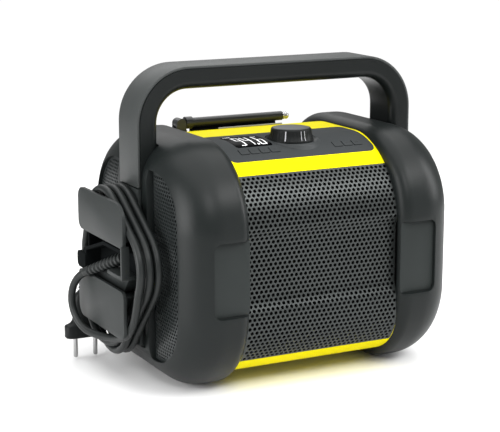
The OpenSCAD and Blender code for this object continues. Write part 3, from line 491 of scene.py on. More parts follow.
# front grille: a perforated sheet bent to the casing, with a sunk band across it
rowShare = 0.866   # pitches from one row of holes to the next
grille = {"half": 74, "low": 28.5, "high": 184, "bandLow": 72, "bandHigh": 142.5, "bandDepth": 5,
          "bandSlope": 10, "front": 101, "topY": 26, "topZ": 131, "topR": 75, "lowY": 52, "lowZ": 61,
          "lowR": 49, "pitch": 4.42, "hole": 1.58, "thick": 1.2, "edge": 1.0, "step": 2.5, "corner": 3.5,
          "clothGap": 1.25, "clothThick": 0.15, "clothInset": 0.15, "wall": 0.4}


def casingFront(sizes, z):
    # how far forward the casing reaches at a height
    if z > sizes["topZ"]:
        return -sizes["topY"] - math.sqrt(max(0, sizes["topR"] ** 2 - (z - sizes["topZ"]) ** 2))
    if z < sizes["lowZ"]:
        return -sizes["lowY"] - math.sqrt(max(0, sizes["lowR"] ** 2 - (sizes["lowZ"] - z) ** 2))
    return -sizes["front"]


def rounded(points, radius, least=9, parts=4):
    # a polyline with short curves in place of its corners, where it turns by more than the least degrees
    result = [points[0]]
    for before, corner, after in zip(points, points[1:], points[2:]):
        a, c, b = Vector(before), Vector(corner), Vector(after)
        if (c - a).angle(b - c) < math.radians(least):
            result.append(corner)
            continue
        reach = min(radius, (a - c).length / 2.1, (b - c).length / 2.1)
        start, end = c + (a - c).normalized() * reach, c + (b - c).normalized() * reach
        for k in range(parts + 1):
            t = k / parts
            result.append(tuple(start * (1 - t) ** 2 + c * 2 * t * (1 - t) + end * t * t))
    result.append(points[-1])
    return result


def grilleSection(sizes):
    points = []

    def follow(z, end):
        while z < end:
            points.append((casingFront(sizes, z), z))
            z += sizes["step"]

    follow(sizes["low"], sizes["bandLow"])
    front, deep = -sizes["front"], sizes["bandDepth"] - sizes["front"]
    points += [(front, sizes["bandLow"]), (deep, sizes["bandLow"] + sizes["bandSlope"]),
               (deep, sizes["bandHigh"] - sizes["bandSlope"])]
    follow(sizes["bandHigh"], sizes["high"])
    points.append((casingFront(sizes, sizes["high"]), sizes["high"]))
    return rounded(points, sizes["corner"])


def perforatedTree():
    tree, start, end = startGroup("GeometryNodeTree", "perforatedSheet", [
        ("Geometry", "Geometry", None), ("Width", "Float", 0.14), ("Length", "Float", 0.17),
        ("Columns", "Int", 30), ("Rows", "Int", 40), ("Hole", "Float", 0.0014), ("Edge", "Float", 0.002),
        ("Hole Sides", "Int", 12), ("Finish", "Material", None)], [("Geometry", "Geometry")])
    size = start.outputs
    make, work = partial(first, tree), partial(maths, tree)
    pitch = work("DIVIDE", size["Width"], size["Columns"])
    row = work("DIVIDE", size["Length"], size["Rows"])
    # one square of sheet with a round hole
    square = make("CurvePrimitiveQuadrilateral", {"Width": pitch, "Height": row})
    square = make("SubdivideCurve", {"Curve": square, "Cuts": 1})
    tile = make("FillCurve", {"Curve": joinParts(tree, [square, roundCurve(tree, size)])}, mode="TRIANGLES")
    # its places: a grid of points, every second row half a pitch over
    wide = work("SUBTRACT", size["Width"], pitch)
    tall = work("SUBTRACT", size["Length"], row)
    odd, shift = oddRows(tree, tall, row, pitch)
    grid = meshGrid(tree, wide, tall, size["Columns"], size["Rows"])
    grid = make("SetPosition", {"Geometry": grid, "Offset": shift})
    beyond = compared(tree, split(tree)["X"], "GREATER_THAN", work("MULTIPLY", wide, 0.502))
    sheet = placeOn(tree, without(tree, grid, beyond), tile)
    # half squares at both ends of the rows that are over
    half = work("MULTIPLY", pitch, 0.5)
    blank = meshGrid(tree, half, row, 2, 3)
    ends = meshGrid(tree, work("SUBTRACT", size["Width"], half), tall, 2, size["Rows"])
    blanks = placeOn(tree, without(tree, ends, compared(tree, odd, "LESS_THAN", 0.5)), blank)

    # plain margins along the sides and the ends
    def doubled(many):
        return work("ADD", work("MULTIPLY", many, 2.0), 1.0)

    def offset(length):
        return work("ADD", work("MULTIPLY", length, 0.5), work("MULTIPLY", size["Edge"], 0.5))

    def moved(piece, places):
        shift = make("ShaderNodeCombineXYZ", places)
        return make("Transform", {"Geometry": piece, "Translation": shift})

    sideStrip = meshGrid(tree, size["Edge"], size["Length"], 2, doubled(size["Rows"]))
    endStrip = meshGrid(tree, size["Width"], size["Edge"], doubled(size["Columns"]), 2)
    corner = meshGrid(tree, size["Edge"], size["Edge"], 2, 2)
    sideOff, endOff = offset(size["Width"]), offset(size["Length"])
    parts = [sheet, blanks]
    for sign in (-1.0, 1.0):
        x, y = work("MULTIPLY", sideOff, sign), work("MULTIPLY", endOff, sign)
        parts += [moved(sideStrip, {"X": x}), moved(endStrip, {"Y": y})]
        parts += [moved(corner, {"X": x, "Y": work("MULTIPLY", endOff, other)}) for other in (-1.0, 1.0)]
    whole = make("RealizeInstances", {0: joinParts(tree, parts)})
    whole = make("MergeByDistance", {"Geometry": whole, "Distance": 0.00003})
    # bent along the section, which is the holder's own line
    line = make("MeshToCurve", {"Mesh": size["Geometry"]})
    here = split(tree)
    run = work("ADD", work("ADD", here["Y"], work("MULTIPLY", size["Length"], 0.5)), size["Edge"])
    sample = put(tree, "SampleCurve", {"Curves": line, "Length": run}, mode="LENGTH", use_all_curves=True)
    found = split(tree, sample.outputs["Position"])
    across = work("ADD", found["X"], here["X"])
    bent = make("ShaderNodeCombineXYZ", {"X": across, "Y": found["Y"], "Z": found["Z"]})
    whole = make("SetPosition", {"Geometry": whole, "Position": bent})
    finishTree(tree, whole, size["Finish"], end)
    return tree


def makeGrille(sizes, finish):
    section = [at(0, y, z) for y, z in grilleSection(sizes)]
    length = sum((b - a).length for a, b in zip(section, section[1:]))
    edge = sizes["edge"] * mm
    width = 2 * sizes["half"] * mm - 2 * edge
    columns = round(width / (sizes["pitch"] * mm))
    rows = round((length - 2 * edge) / (sizes["pitch"] * mm * rowShare))
    rows += 1 - rows % 2
    holder = meshObject("frontGrille", section, [], edges=[(k, k + 1) for k in range(len(section) - 1)])
    made = bake(perforatedTree(), holder, {
        "Width": width, "Length": length - 2 * edge, "Columns": columns, "Rows": rows,
        "Hole": sizes["hole"] * mm, "Edge": edge, "Finish": finish})
    thicken(made, sizes["thick"], (0, -1, 0))
    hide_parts("front_grille")
    print("front grille", columns, "by", rows, "holes,", len(made.data.polygons), "faces")
    return made


def thicken(made, thick, outward):
    # turns the sheet to face outward, then gives it its thickness inward
    total = Vector((0, 0, 0))
    for polygon in made.data.polygons:
        total += polygon.normal * polygon.area
    if total.dot(Vector(outward)) < 0:
        made.data.flip_normals()
    solid = made.modifiers.new("thickness", "SOLIDIFY")
    solid.thickness = thick * mm
    solid.offset = -1
    applyModifiers(made)
    sharpenBy(made, 40)


def makeGrilleCloth(sizes):
    # black cloth close behind the sheet, and walls at both ends of the sunk band in the same near-black, which
    # there is also painted shade
    line = grilleSection(sizes)
    half, gap = sizes["half"] - sizes["clothInset"], sizes["clothGap"]
    points = []
    for k, (y, z) in enumerate(line):
        before, after = line[max(0, k - 1)], line[min(len(line) - 1, k + 1)]
        along = Vector((after[0] - before[0], after[1] - before[1])).normalized()
        points += [at(side * half, y + along.y * gap, z - along.x * gap) for side in (-1, 1)]
    cloth = meshObject("clothSheet", points, ringFaces(len(line), 2, closed=False))
    thicken(cloth, sizes["clothThick"], (0, -1, 0))
    front, deep = -sizes["front"], sizes["bandDepth"] - 0.1
    low, high, slope = sizes["bandLow"], sizes["bandHigh"], sizes["bandSlope"]
    outline = [(front, low), (front + deep, low + slope), (front + deep, high - slope), (front, high)]
    walls = [lofted("wall", [[at(side * x, y, z) for y, z in outline] for x in (half - sizes["wall"], half)])
             for side in (-1, 1)]
    return joined("grilleCloth", [cloth] + walls, 30)


# end windows: a domed perforated panel in each, with cloth behind
endWindow = {"face": 125.6, "inner": 31.2, "outer": 85.8, "low": 23.2, "high": 187.3, "topR": 43.8,
             "lowR": 47.8, "dome": 2.6, "domeReach": 17, "pitch": 3.5, "hole": 1.22, "margin": 1.0,
             "thick": 0.9, "sides": 8, "clothGap": 0.3, "clothThick": 0.3, "cornerParts": 16}


def windowOutline(sizes, side):
    # the window's edge in millimetres: depth and height, on one side of the pillar
    inner, outer, low, high = sizes["inner"], sizes["outer"], sizes["low"], sizes["high"]
    line, parts = [(inner, low), (inner, high)], sizes["cornerParts"]
    top, foot = sizes["topR"], sizes["lowR"]
    for radius, cz, start in ((top, high - top, 90), (foot, low + foot, 0)):
        for k in range(parts + 1):
            angle = math.radians(start - 90 * k / parts)
            line.append((outer - radius + radius * math.cos(angle), cz + radius * math.sin(angle)))
    return [(side * y, z) for y, z in line]


def windowTree():
    tree, start, end = startGroup("GeometryNodeTree", "perforatedPanel", [
        ("Geometry", "Geometry", None), ("Pitch", "Float", 0.0033), ("Hole", "Float", 0.001),
        ("Margin", "Float", 0.0015), ("Hole Sides", "Int", 8), ("Finish", "Material", None)],
        [("Geometry", "Geometry")])
    size = start.outputs
    make, work = partial(first, tree), partial(maths, tree)
    edge = size["Geometry"]
    rim = make("MeshToCurve", {"Mesh": edge})
    whole = make("FillCurve", {"Curve": rim}, mode="NGONS")
    box = put(tree, "BoundBox", {0: edge}).outputs
    span = split(tree, vectorMaths(tree, "SUBTRACT", box["Max"], box["Min"]))
    middle = make("ShaderNodeVectorMath", {0: vectorMaths(tree, "ADD", box["Max"], box["Min"]), "Scale": 0.5},
                  operation="SCALE")
    row = work("MULTIPLY", size["Pitch"], rowShare)
    columns = work("CEIL", work("DIVIDE", span["X"], size["Pitch"]))
    rows = work("CEIL", work("DIVIDE", span["Y"], row))
    wide, tall = work("MULTIPLY", columns, size["Pitch"]), work("MULTIPLY", rows, row)
    grid = meshGrid(tree, wide, tall, work("ADD", columns, 1.0), work("ADD", rows, 1.0))
    _, over = oddRows(tree, tall, row, size["Pitch"])
    shift = vectorMaths(tree, "ADD", over, middle)
    grid = make("SetPosition", {"Geometry": grid, "Offset": shift})
    # only places inside the edge and clear of it keep their hole
    above = vectorMaths(tree, "ADD", make("InputPosition"), (0, 0, 0.01))
    hit = put(tree, "Raycast", {"Target Geometry": whole, "Source Position": above, "Ray Direction": (0, 0, -1),
                                "Ray Length": 0.02}).outputs["Is Hit"]
    clear = put(tree, "Proximity", {0: edge}, target_element="EDGES").outputs["Distance"]
    clear = compared(tree, clear, "GREATER_THAN", work("ADD", size["Margin"], size["Hole"]))
    kept = make("FunctionNodeBooleanMath", {0: hit, 1: clear}, operation="AND")
    lost = make("FunctionNodeBooleanMath", {0: kept}, operation="NOT")
    holes = make("RealizeInstances", {0: placeOn(tree, without(tree, grid, lost), roundCurve(tree, size))})
    panel = make("FillCurve", {"Curve": joinParts(tree, [rim, holes])}, mode="TRIANGLES")
    finishTree(tree, panel, size["Finish"], end)
    return tree


def edgeGap(point, line):
    # distance from a point to a closed line, both flat
    best = 1e9
    for a, b in zip(line, line[1:] + line[:1]):
        a, b = Vector(a), Vector(b)
        way = b - a
        share = min(1, max(0, (point - a).dot(way) / max(1e-9, way.length_squared)))
        best = min(best, (point - a - way * share).length)
    return best


def makeEndWindows(name, end, sizes, tree, finish):
    # both windows of one end; end is -1 on the left and 1 on the right
    panels, cloths = [], []
    clothPlace = end * (sizes["face"] - sizes["thick"] - sizes["clothGap"])
    values = {"Pitch": sizes["pitch"] * mm, "Hole": sizes["hole"] * mm, "Margin": sizes["margin"] * mm,
              "Hole Sides": sizes["sides"], "Finish": finish}
    for side in (-1, 1):
        line = windowOutline(sizes, side)
        count = len(line)
        holder = meshObject("panel", [(y * mm, z * mm, 0) for y, z in line], [],
                            edges=[(k, (k + 1) % count) for k in range(count)])
        made = bake(tree, holder, values)
        for vertex in made.data.vertices:
            spot = Vector((vertex.co.x / mm, vertex.co.y / mm))
            rise = min(1, edgeGap(spot, line) / sizes["domeReach"])
            rise = sizes["dome"] * rise * (2 - rise)
            vertex.co = at(end * (sizes["face"] + rise), spot.x, spot.y)
        thicken(made, sizes["thick"], (end, 0, 0))
        panels.append(made)
        cloth = meshObject("cloth", [at(clothPlace, y, z) for y, z in line], [tuple(range(count))])
        thicken(cloth, sizes["clothThick"], (end, 0, 0))
        cloths.append(cloth)
    return joined(name, panels, 40), joined(name + "Cloth", cloths)


# knob on a mound that flows out of the panel
knob = {"x": 3, "y": -36, "low": 203.3,
        "profile": [(0, 19.2), (0.15, 19.7), (0.9, 19.8), (1.8, 19.5), (3.4, 18.7), (5.8, 18.15),
                    (8.5, 17.75), (9.9, 17.6), (10.6, 17.35), (11.05, 16.8), (11.25, 16.1)],
        "flutes": 36, "fluteSteps": 6, "fluteDepth": 0.28, "fluteStart": (1.2, 2.8), "fluteEnd": (9.0, 10.0),
        # angle and half width of the upright bars on its side, and how far they go in and out
        "marks": [(-134, 0.5), (-90, 0.22), (-79, 0.22)], "markIn": -0.5, "markOut": 0.22,
        # height over the knob's top and radius
        "cap": [(-0.2, 15.5), (-0.02, 15.9), (0.05, 15.8), (0.12, 11), (0.16, 4)]}
mound = {"shoulder": 0.8, "level": 203.0, "inner": 20.0, "outer": 21.8, "flare": 4.4, "flareAngle": -25,
         "shares": (0, 0.02, 0.2, 0.4, 0.6, 0.8, 0.92, 1), "over": 0.12, "sink": 0.35, "count": 96, "foot": 3,
         "top": (4, 19.9)}
panel = {"radius": 74.9, "centreY": -26, "centreZ": 131}


def panelHeight(y, radius=panel["radius"]):
    # height of the panel's curve at a depth: round in front, level behind
    return panel["centreZ"] + math.sqrt(radius ** 2 - min(0, y - panel["centreY"]) ** 2)


def makeKnob(sizes):
    steps = sizes["flutes"] * sizes["fluteSteps"]
    rings = []
    for height, radius in sizes["profile"]:
        begun = eased(height, *sizes["fluteStart"], 0, 1)
        depth = sizes["fluteDepth"] * begun * eased(height, *sizes["fluteEnd"], 1, 0)
        ring = []
        for k in range(steps):
            angle = 2 * math.pi * k / steps
            r = radius - depth * (0.5 - 0.5 * math.cos(sizes["flutes"] * angle))
            ring.append(at(sizes["x"] + r * math.cos(angle), sizes["y"] + r * math.sin(angle),
                           sizes["low"] + height))
        rings.append(ring)
    body = lofted("knobBody", rings, 40)
    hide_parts("control_knob")
    top = sizes["low"] + sizes["profile"][-1][0]
    cap = [levelRing(sizes["x"], sizes["y"], top + over, r, r, count=64) for over, r in sizes["cap"]]
    cap = lofted("knobCap", cap, 40)
    mark = joined("knobMark", [sideMark(sizes, angle, half) for angle, half in sizes["marks"]], 30)
    return body, cap, mark


def sideMark(sizes, degrees, half):
    # a thin upright bar on the knob's side
    angle, low, high = math.radians(degrees), sizes["markIn"], sizes["markOut"]
    way, side = Vector((math.cos(angle), math.sin(angle), 0)), Vector((-math.sin(angle), math.cos(angle), 0))
    rings = []
    for height, radius in sizes["profile"][3:8]:
        middle = Vector((sizes["x"], sizes["y"], sizes["low"] + height))
        rings.append([at(*(middle + way * (radius + out) + side * across))
                      for out, across in ((low, -half), (high, -half), (high, half), (low, half))])
    return lofted("mark", rings)


def makeMound(sizes, about):
    count = sizes["count"]
    rings = [levelRing(about["x"], about["y"], sizes["level"], r, r, count=count) for r in sizes["top"]]
    for share in sizes["shares"]:
        ring = []
        for k in range(count):
            angle = 2 * math.pi * k / count
            flare = max(0, math.cos(angle - math.radians(sizes["flareAngle"])))
            r = sizes["inner"] + (sizes["outer"] + sizes["flare"] * flare - sizes["inner"]) * share
            y = about["y"] + r * math.sin(angle)
            low = panelHeight(y) + sizes["over"] - sizes["sink"] * (share == 1)
            bulge = sizes["shoulder"] * math.sin(math.pi * min(1, share * 1.15)) ** 2
            z = eased(share, 0, 1, sizes["level"], low) + bulge
            ring.append(at(about["x"] + r * math.cos(angle), y, z))
        rings.append(ring)
    rings.append([p - Vector((0, 0, sizes["foot"] * mm)) for p in rings[-1]])
    made = lofted("knobMound", rings, 50)
    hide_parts("knob_collar")
    return made


# display digits and key legends
digits = {"segments": {"9": "abcdfg", "4": "bcfg", "6": "acdefg"}, "text": "94.6", "left": -50.0,
          "low": -45.5, "wide": 5.9, "tall": 24.0, "stroke": 1.15, "gap": 2.3, "dot": 1.9, "radius": 75.2,
          "over": 0.1, "thick": 0.04, "step": 2, "dotBack": 0.3, "dotTall": 0.8, "dotGap": 1.2, "bars": 4,
          "barLeft": -54, "barPitch": 1.9, "barWide": 1.2, "barLow": -17.6, "barHigh": -16.6,
          "barRise": 0.45}


def surfaceBar(x0, y0, x1, y1, sizes):
    # a flat bar that follows the display's curve
    steps = max(1, round((y1 - y0) / sizes["step"]))
    points = []
    for k in range(steps + 1):
        y = y0 + (y1 - y0) * k / steps
        points += [at(x, y, panelHeight(y, sizes["radius"]) + sizes["over"]) for x in (x0, x1)]
    return meshObject("bar", points, ringFaces(steps + 1, 2, closed=False))


def makeDigits(sizes):
    w, h, t, low = sizes["wide"], sizes["tall"], sizes["stroke"], sizes["low"]
    inset, gap = t * 0.6, t * 0.4
    places = {"a": (inset, h - t, w - inset, h), "g": (inset, h / 2 - t / 2, w - inset, h / 2 + t / 2),
              "d": (inset, 0, w - inset, t), "f": (0, h / 2 + gap, t, h - inset),
              "b": (w - t, h / 2 + gap, w, h - inset), "e": (0, inset, t, h / 2 - gap),
              "c": (w - t, inset, w, h / 2 - gap)}
    bars, x = [], sizes["left"]
    for letter in sizes["text"]:
        if letter == ".":
            start, top = x - sizes["dotBack"], low + sizes["dot"] + sizes["dotTall"]
            bars.append(surfaceBar(start, low, start + sizes["dot"], top, sizes))
            x += sizes["dot"] + sizes["dotGap"]
            continue
        for x0, y0, x1, y1 in (places[name] for name in sizes["segments"][letter]):
            bars.append(surfaceBar(x + x0, low + y0, x + x1, low + y1, sizes))
        x += w + sizes["gap"]
    # a small row of bars above the digits, for reception
    for k in range(sizes["bars"]):
        start = sizes["barLeft"] + k * sizes["barPitch"]
        bars.append(surfaceBar(start, sizes["barLow"], start + sizes["barWide"],
                               sizes["barHigh"] + k * sizes["barRise"], sizes))
    made = joined("displayDigits", bars)
    thicken(made, sizes["thick"], (0, 0, 1))
    return made


film = {"left": -56, "right": -21.2, "front": -48.5, "back": -14.2, "corner": 1.5, "radius": 75.08,
        "over": 0.06, "thick": 0.06, "strips": 24}


def makeFilm(sizes):
    # black film over the display, in strips that follow its curve
    points, steps, corner = [], sizes["strips"], sizes["corner"]
    depth = sizes["back"] - sizes["front"]
    for k in range(steps + 1):
        run = depth * k / steps
        short = max(0, corner - min(run, depth - run))
        inset = corner - math.sqrt(corner ** 2 - short ** 2)
        y = sizes["front"] + run
        z = panelHeight(y, sizes["radius"]) + sizes["over"]
        points += [at(sizes["left"] + inset, y, z), at(sizes["right"] - inset, y, z)]
    made = meshObject("displayFilm", points, ringFaces(steps + 1, 2, closed=False))
    thicken(made, sizes["thick"], (0, 0, 1))
    return made


keyLegends = {"preset_key_1": "1", "preset_key_2": "2", "preset_key_3": "3", "preset_key_4": "4",
              "mode_key_1": "-", "mode_key_2": "+", "mode_key_3": "M"}
legendForm = {"slope": 23, "height": 4.0, "thick": 0.03, "faceDepth": 0.05}


def makeLegend(node, text, sizes=legendForm):
    # a sign that lies on the sloped face of a key
    slope, thick = math.radians(sizes["slope"]), sizes["thick"] * mm
    up, across = Vector((0, -math.sin(slope), math.cos(slope))), Vector((0, math.cos(slope), math.sin(slope)))
    corners = [v.co.copy() for v in nodes[node].data.vertices]
    top = max(c.dot(up) for c in corners)
    face = [c for c in corners if c.dot(up) > top - sizes["faceDepth"] * mm]
    middle = sum(face, Vector()) / len(face)
    data = bpy.data.curves.new("legend", "FONT")
    data.body, data.size = text, sizes["height"] * mm
    data.align_x, data.align_y, data.extrude = "CENTER", "CENTER", thick
    holder = addObject("legend", data)
    mesh = evaluatedMesh(holder)
    bpy.data.objects.remove(holder)
    for vertex in mesh.vertices:
        vertex.co = middle + Vector((vertex.co.x, 0, 0)) + across * vertex.co.y + up * (vertex.co.z + thick)
    return addObject("legend_" + node, mesh)


# aerial: its dark rest, near-black as painted shade, its light rim strip, a painted highlight, and the ribbed
# tip
aerial = {"y": 50, "z": 211, "tipStart": 40.6, "tipEnd": 47.0, "restLeft": -50, "restRight": 37.8,
          "restMiddle": 50.5, "endShrink": 0.97, "endDrop": 0.5, "rimLeft": -28, "rimRight": 37.3,
          "section": [(43.75, 201.6), (43.75, 205.1), (44.0, 205.35), (44.5, 205.35), (44.8, 205.1),
                      (44.9, 203.2), (45.6, 202.6), (56.4, 202.6), (57.0, 203.2), (57.4, 206.0),
                      (57.7, 206.35), (58.8, 206.35), (59.1, 206.0), (59.3, 198.2), (52, 199.2), (50, 201.6)],
          "rim": [(43.3, 204.4), (43.3, 205.2), (43.5, 205.45), (43.9, 205.45), (44.1, 205.2), (44.1, 204.4)],
          "ribs": 3, "ribPitch": 1.5, "ribStart": 1.0, "rib": [(0, 2.6), (0.2, 3.35), (0.45, 3.5), (0.8, 3.5),
                                                               (1.05, 3.35), (1.25, 2.6)]}


def makeAerialRest(sizes):
    # a dark moulded trough that closes the view under the sleeve, its near-black finish painted shade where the
    # sleeve's shadow falls, with a thin front rim whose light grey is a painted highlight on the lip
    left, right, middle = sizes["restLeft"], sizes["restRight"], sizes["restMiddle"]
    rings = []
    for x, shrink, fall in ((left, sizes["endShrink"], sizes["endDrop"]), (left + 1, 1, 0), (right - 1, 1, 0),
                            (right, sizes["endShrink"], sizes["endDrop"])):
        rings.append([at(x, middle + (y - middle) * shrink, z - fall) for y, z in sizes["section"]])
    made = lofted("aerialRest", rings, 30)
    rim = [[at(x, y, z) for y, z in sizes["rim"]] for x in (sizes["rimLeft"], sizes["rimRight"])]
    rim = lofted("aerialRimGlint", rim, 30)
    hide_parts("aerial_tray")
    return made, rim


def makeAerialTip(sizes):
    profile = [(0, 2.5), (0.9, 2.6)]
    for ribNumber in range(sizes["ribs"]):
        start = sizes["ribStart"] + ribNumber * sizes["ribPitch"]
        profile += [(start + run, r) for run, r in sizes["rib"]]
    length = sizes["tipEnd"] - sizes["tipStart"]
    profile += [(length - 0.7, 3.0), (length - 0.3, 2.6), (length, 1.6)]
    rings = [[at(sizes["tipStart"] + run, sizes["y"] + y, sizes["z"] + z)
              for y, z in circlePoints(r, r, 2, 32)] for run, r in profile]
    made = lofted("aerialTip", rings, 40)
    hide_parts("aerial_tip")
    return made


# rib that closes the spool behind the cord's outlet, near-black as painted shade in that gap
rib = {"left": -157.5, "right": -134, "front": 38.6, "back": 41.2, "low": 106, "high": 127.5, "edge": 0.6}


def makeRib(sizes):
    left, right, low, high, edge = (sizes[key] for key in ("left", "right", "low", "high", "edge"))
    rings = []
    for y, inset in ((sizes["front"], edge), (sizes["front"] + edge, 0), (sizes["back"] - edge, 0),
                     (sizes["back"], edge)):
        near, bottom, top = left + inset, low + inset, high - inset
        rings.append([at(near, y, bottom), at(right, y, bottom), at(right, y, top), at(near, y, top)])
    return lofted("spoolRib", rings, 30)


# smooth pads on the bumpers' fronts
pad = {"x": 89.6, "z": 105, "halfX": 16.6, "halfZ": 31.4, "power": 14, "points": 64,
       # depth and how much wider than the pad
       "layers": [(-105.32, 0), (-105.62, -0.1), (-105.74, -0.5)]}


def makePad(name, side, sizes):
    # a thin skin over the sunk flat, with soft corners
    rings = []
    for y, grow in sizes["layers"]:
        outline = circlePoints(sizes["halfX"] + grow, sizes["halfZ"] + grow, sizes["power"], sizes["points"])
        rings.append([at(side * (sizes["x"] + x), y, sizes["z"] + z) for x, z in outline])
    return lofted(name, rings)


# materials
def grainGroup():
    # fine moulded grain: small pits and a slower wave under them
    group, start, end = startGroup("ShaderNodeTree", "mouldedGrain", [
        ("Vector", "Vector", None), ("Scale", "Float", 900.0)], [("Height", "Float")])
    where, scale = start.outputs["Vector"], start.outputs["Scale"]
    fine = put(group, "ShaderNodeTexNoise", {"Vector": where, "Scale": scale, "Detail": 2.0,
                                             "Roughness": 0.6})
    cells = put(group, "ShaderNodeTexVoronoi", {"Vector": where, "Scale": scale}, feature="F1")
    slow = put(group, "ShaderNodeTexNoise", {"Vector": where, "Scale": 60.0, "Detail": 2.0})
    mixed = maths(group, "ADD", fine.outputs["Fac"], maths(group, "MULTIPLY", cells.outputs["Distance"], 0.6))
    mixed = maths(group, "ADD", mixed, maths(group, "MULTIPLY", slow.outputs["Fac"], 0.3))
    group.links.new(mixed, end.inputs["Height"])
    return group


def handlingGroup():
    # where hands and dust have changed the finish: soft blotches and a few faint scuffs
    group, start, end = startGroup("ShaderNodeTree", "handling", [
        ("Vector", "Vector", None), ("Scuffs", "Float", 0.5)], [("Dust", "Float"), ("Rub", "Float")])
    where = start.outputs["Vector"]
    blotch = put(group, "ShaderNodeTexNoise", {"Vector": where, "Scale": 14.0, "Detail": 4.0,
                                               "Roughness": 0.55})
    dust = first(group, "ShaderNodeMapRange", {"Value": blotch.outputs["Fac"], "From Min": 0.38,
                                               "From Max": 0.72})
    turned = first(group, "ShaderNodeMapping", {"Vector": where, "Scale": (1.0, 1.0, 5.0),
                                                "Rotation": (0.4, 0.7, 0.2)})
    lines = put(group, "ShaderNodeTexNoise", {"Vector": turned, "Scale": 55.0, "Detail": 3.0})
    rub = first(group, "ShaderNodeMapRange", {"Value": lines.outputs["Fac"], "From Min": 0.60,
                                              "From Max": 0.76})
    group.links.new(dust, end.inputs["Dust"])
    group.links.new(maths(group, "MULTIPLY", rub, start.outputs["Scuffs"]), end.inputs["Rub"])
    return group


mouldedGrain = grainGroup()
handling = handlingGroup()


def makeFinish(name, tone, rough, second=None, spread=0.06, grain=0.0, grainScale=900.0, scuffs=0.3,
               metallic=0.0, coat=0.0, specular=0.5):
    # a plastic or metal: two close tones, roughness that follows handling, and grain
    material = bpy.data.materials.new(name)
    material.use_nodes = True
    tree = material.node_tree
    tree.nodes.clear()
    where = put(tree, "ShaderNodeTexCoord").outputs["Object"]
    worn = put(tree, "ShaderNodeGroup", {"Vector": where, "Scuffs": scuffs}, node_tree=handling).outputs
    amount = maths(tree, "ADD", maths(tree, "MULTIPLY", worn["Dust"], 0.6), worn["Rub"])
    second = second or tuple(c * 1.25 for c in tone)
    blend = put(tree, "ShaderNodeMix", {0: amount, 6: (*tone, 1), 7: (*second, 1)}, data_type="RGBA")
    shader = put(tree, "ShaderNodeBsdfPrincipled", {
        "Base Color": blend.outputs[2], "Metallic": metallic, "Coat Weight": coat, "Coat Roughness": 0.1,
        "Roughness": maths(tree, "ADD", maths(tree, "MULTIPLY", worn["Dust"], spread), rough),
        "Specular IOR Level": specular})
    if grain:
        pits = first(tree, "ShaderNodeGroup", {"Vector": where, "Scale": grainScale}, node_tree=mouldedGrain)
        bump = first(tree, "ShaderNodeBump", {"Strength": grain, "Distance": 0.0002, "Height": pits})
        tree.links.new(bump, shader.inputs["Normal"])
    put(tree, "ShaderNodeOutputMaterial", {"Surface": shader.outputs[0]})
    return material


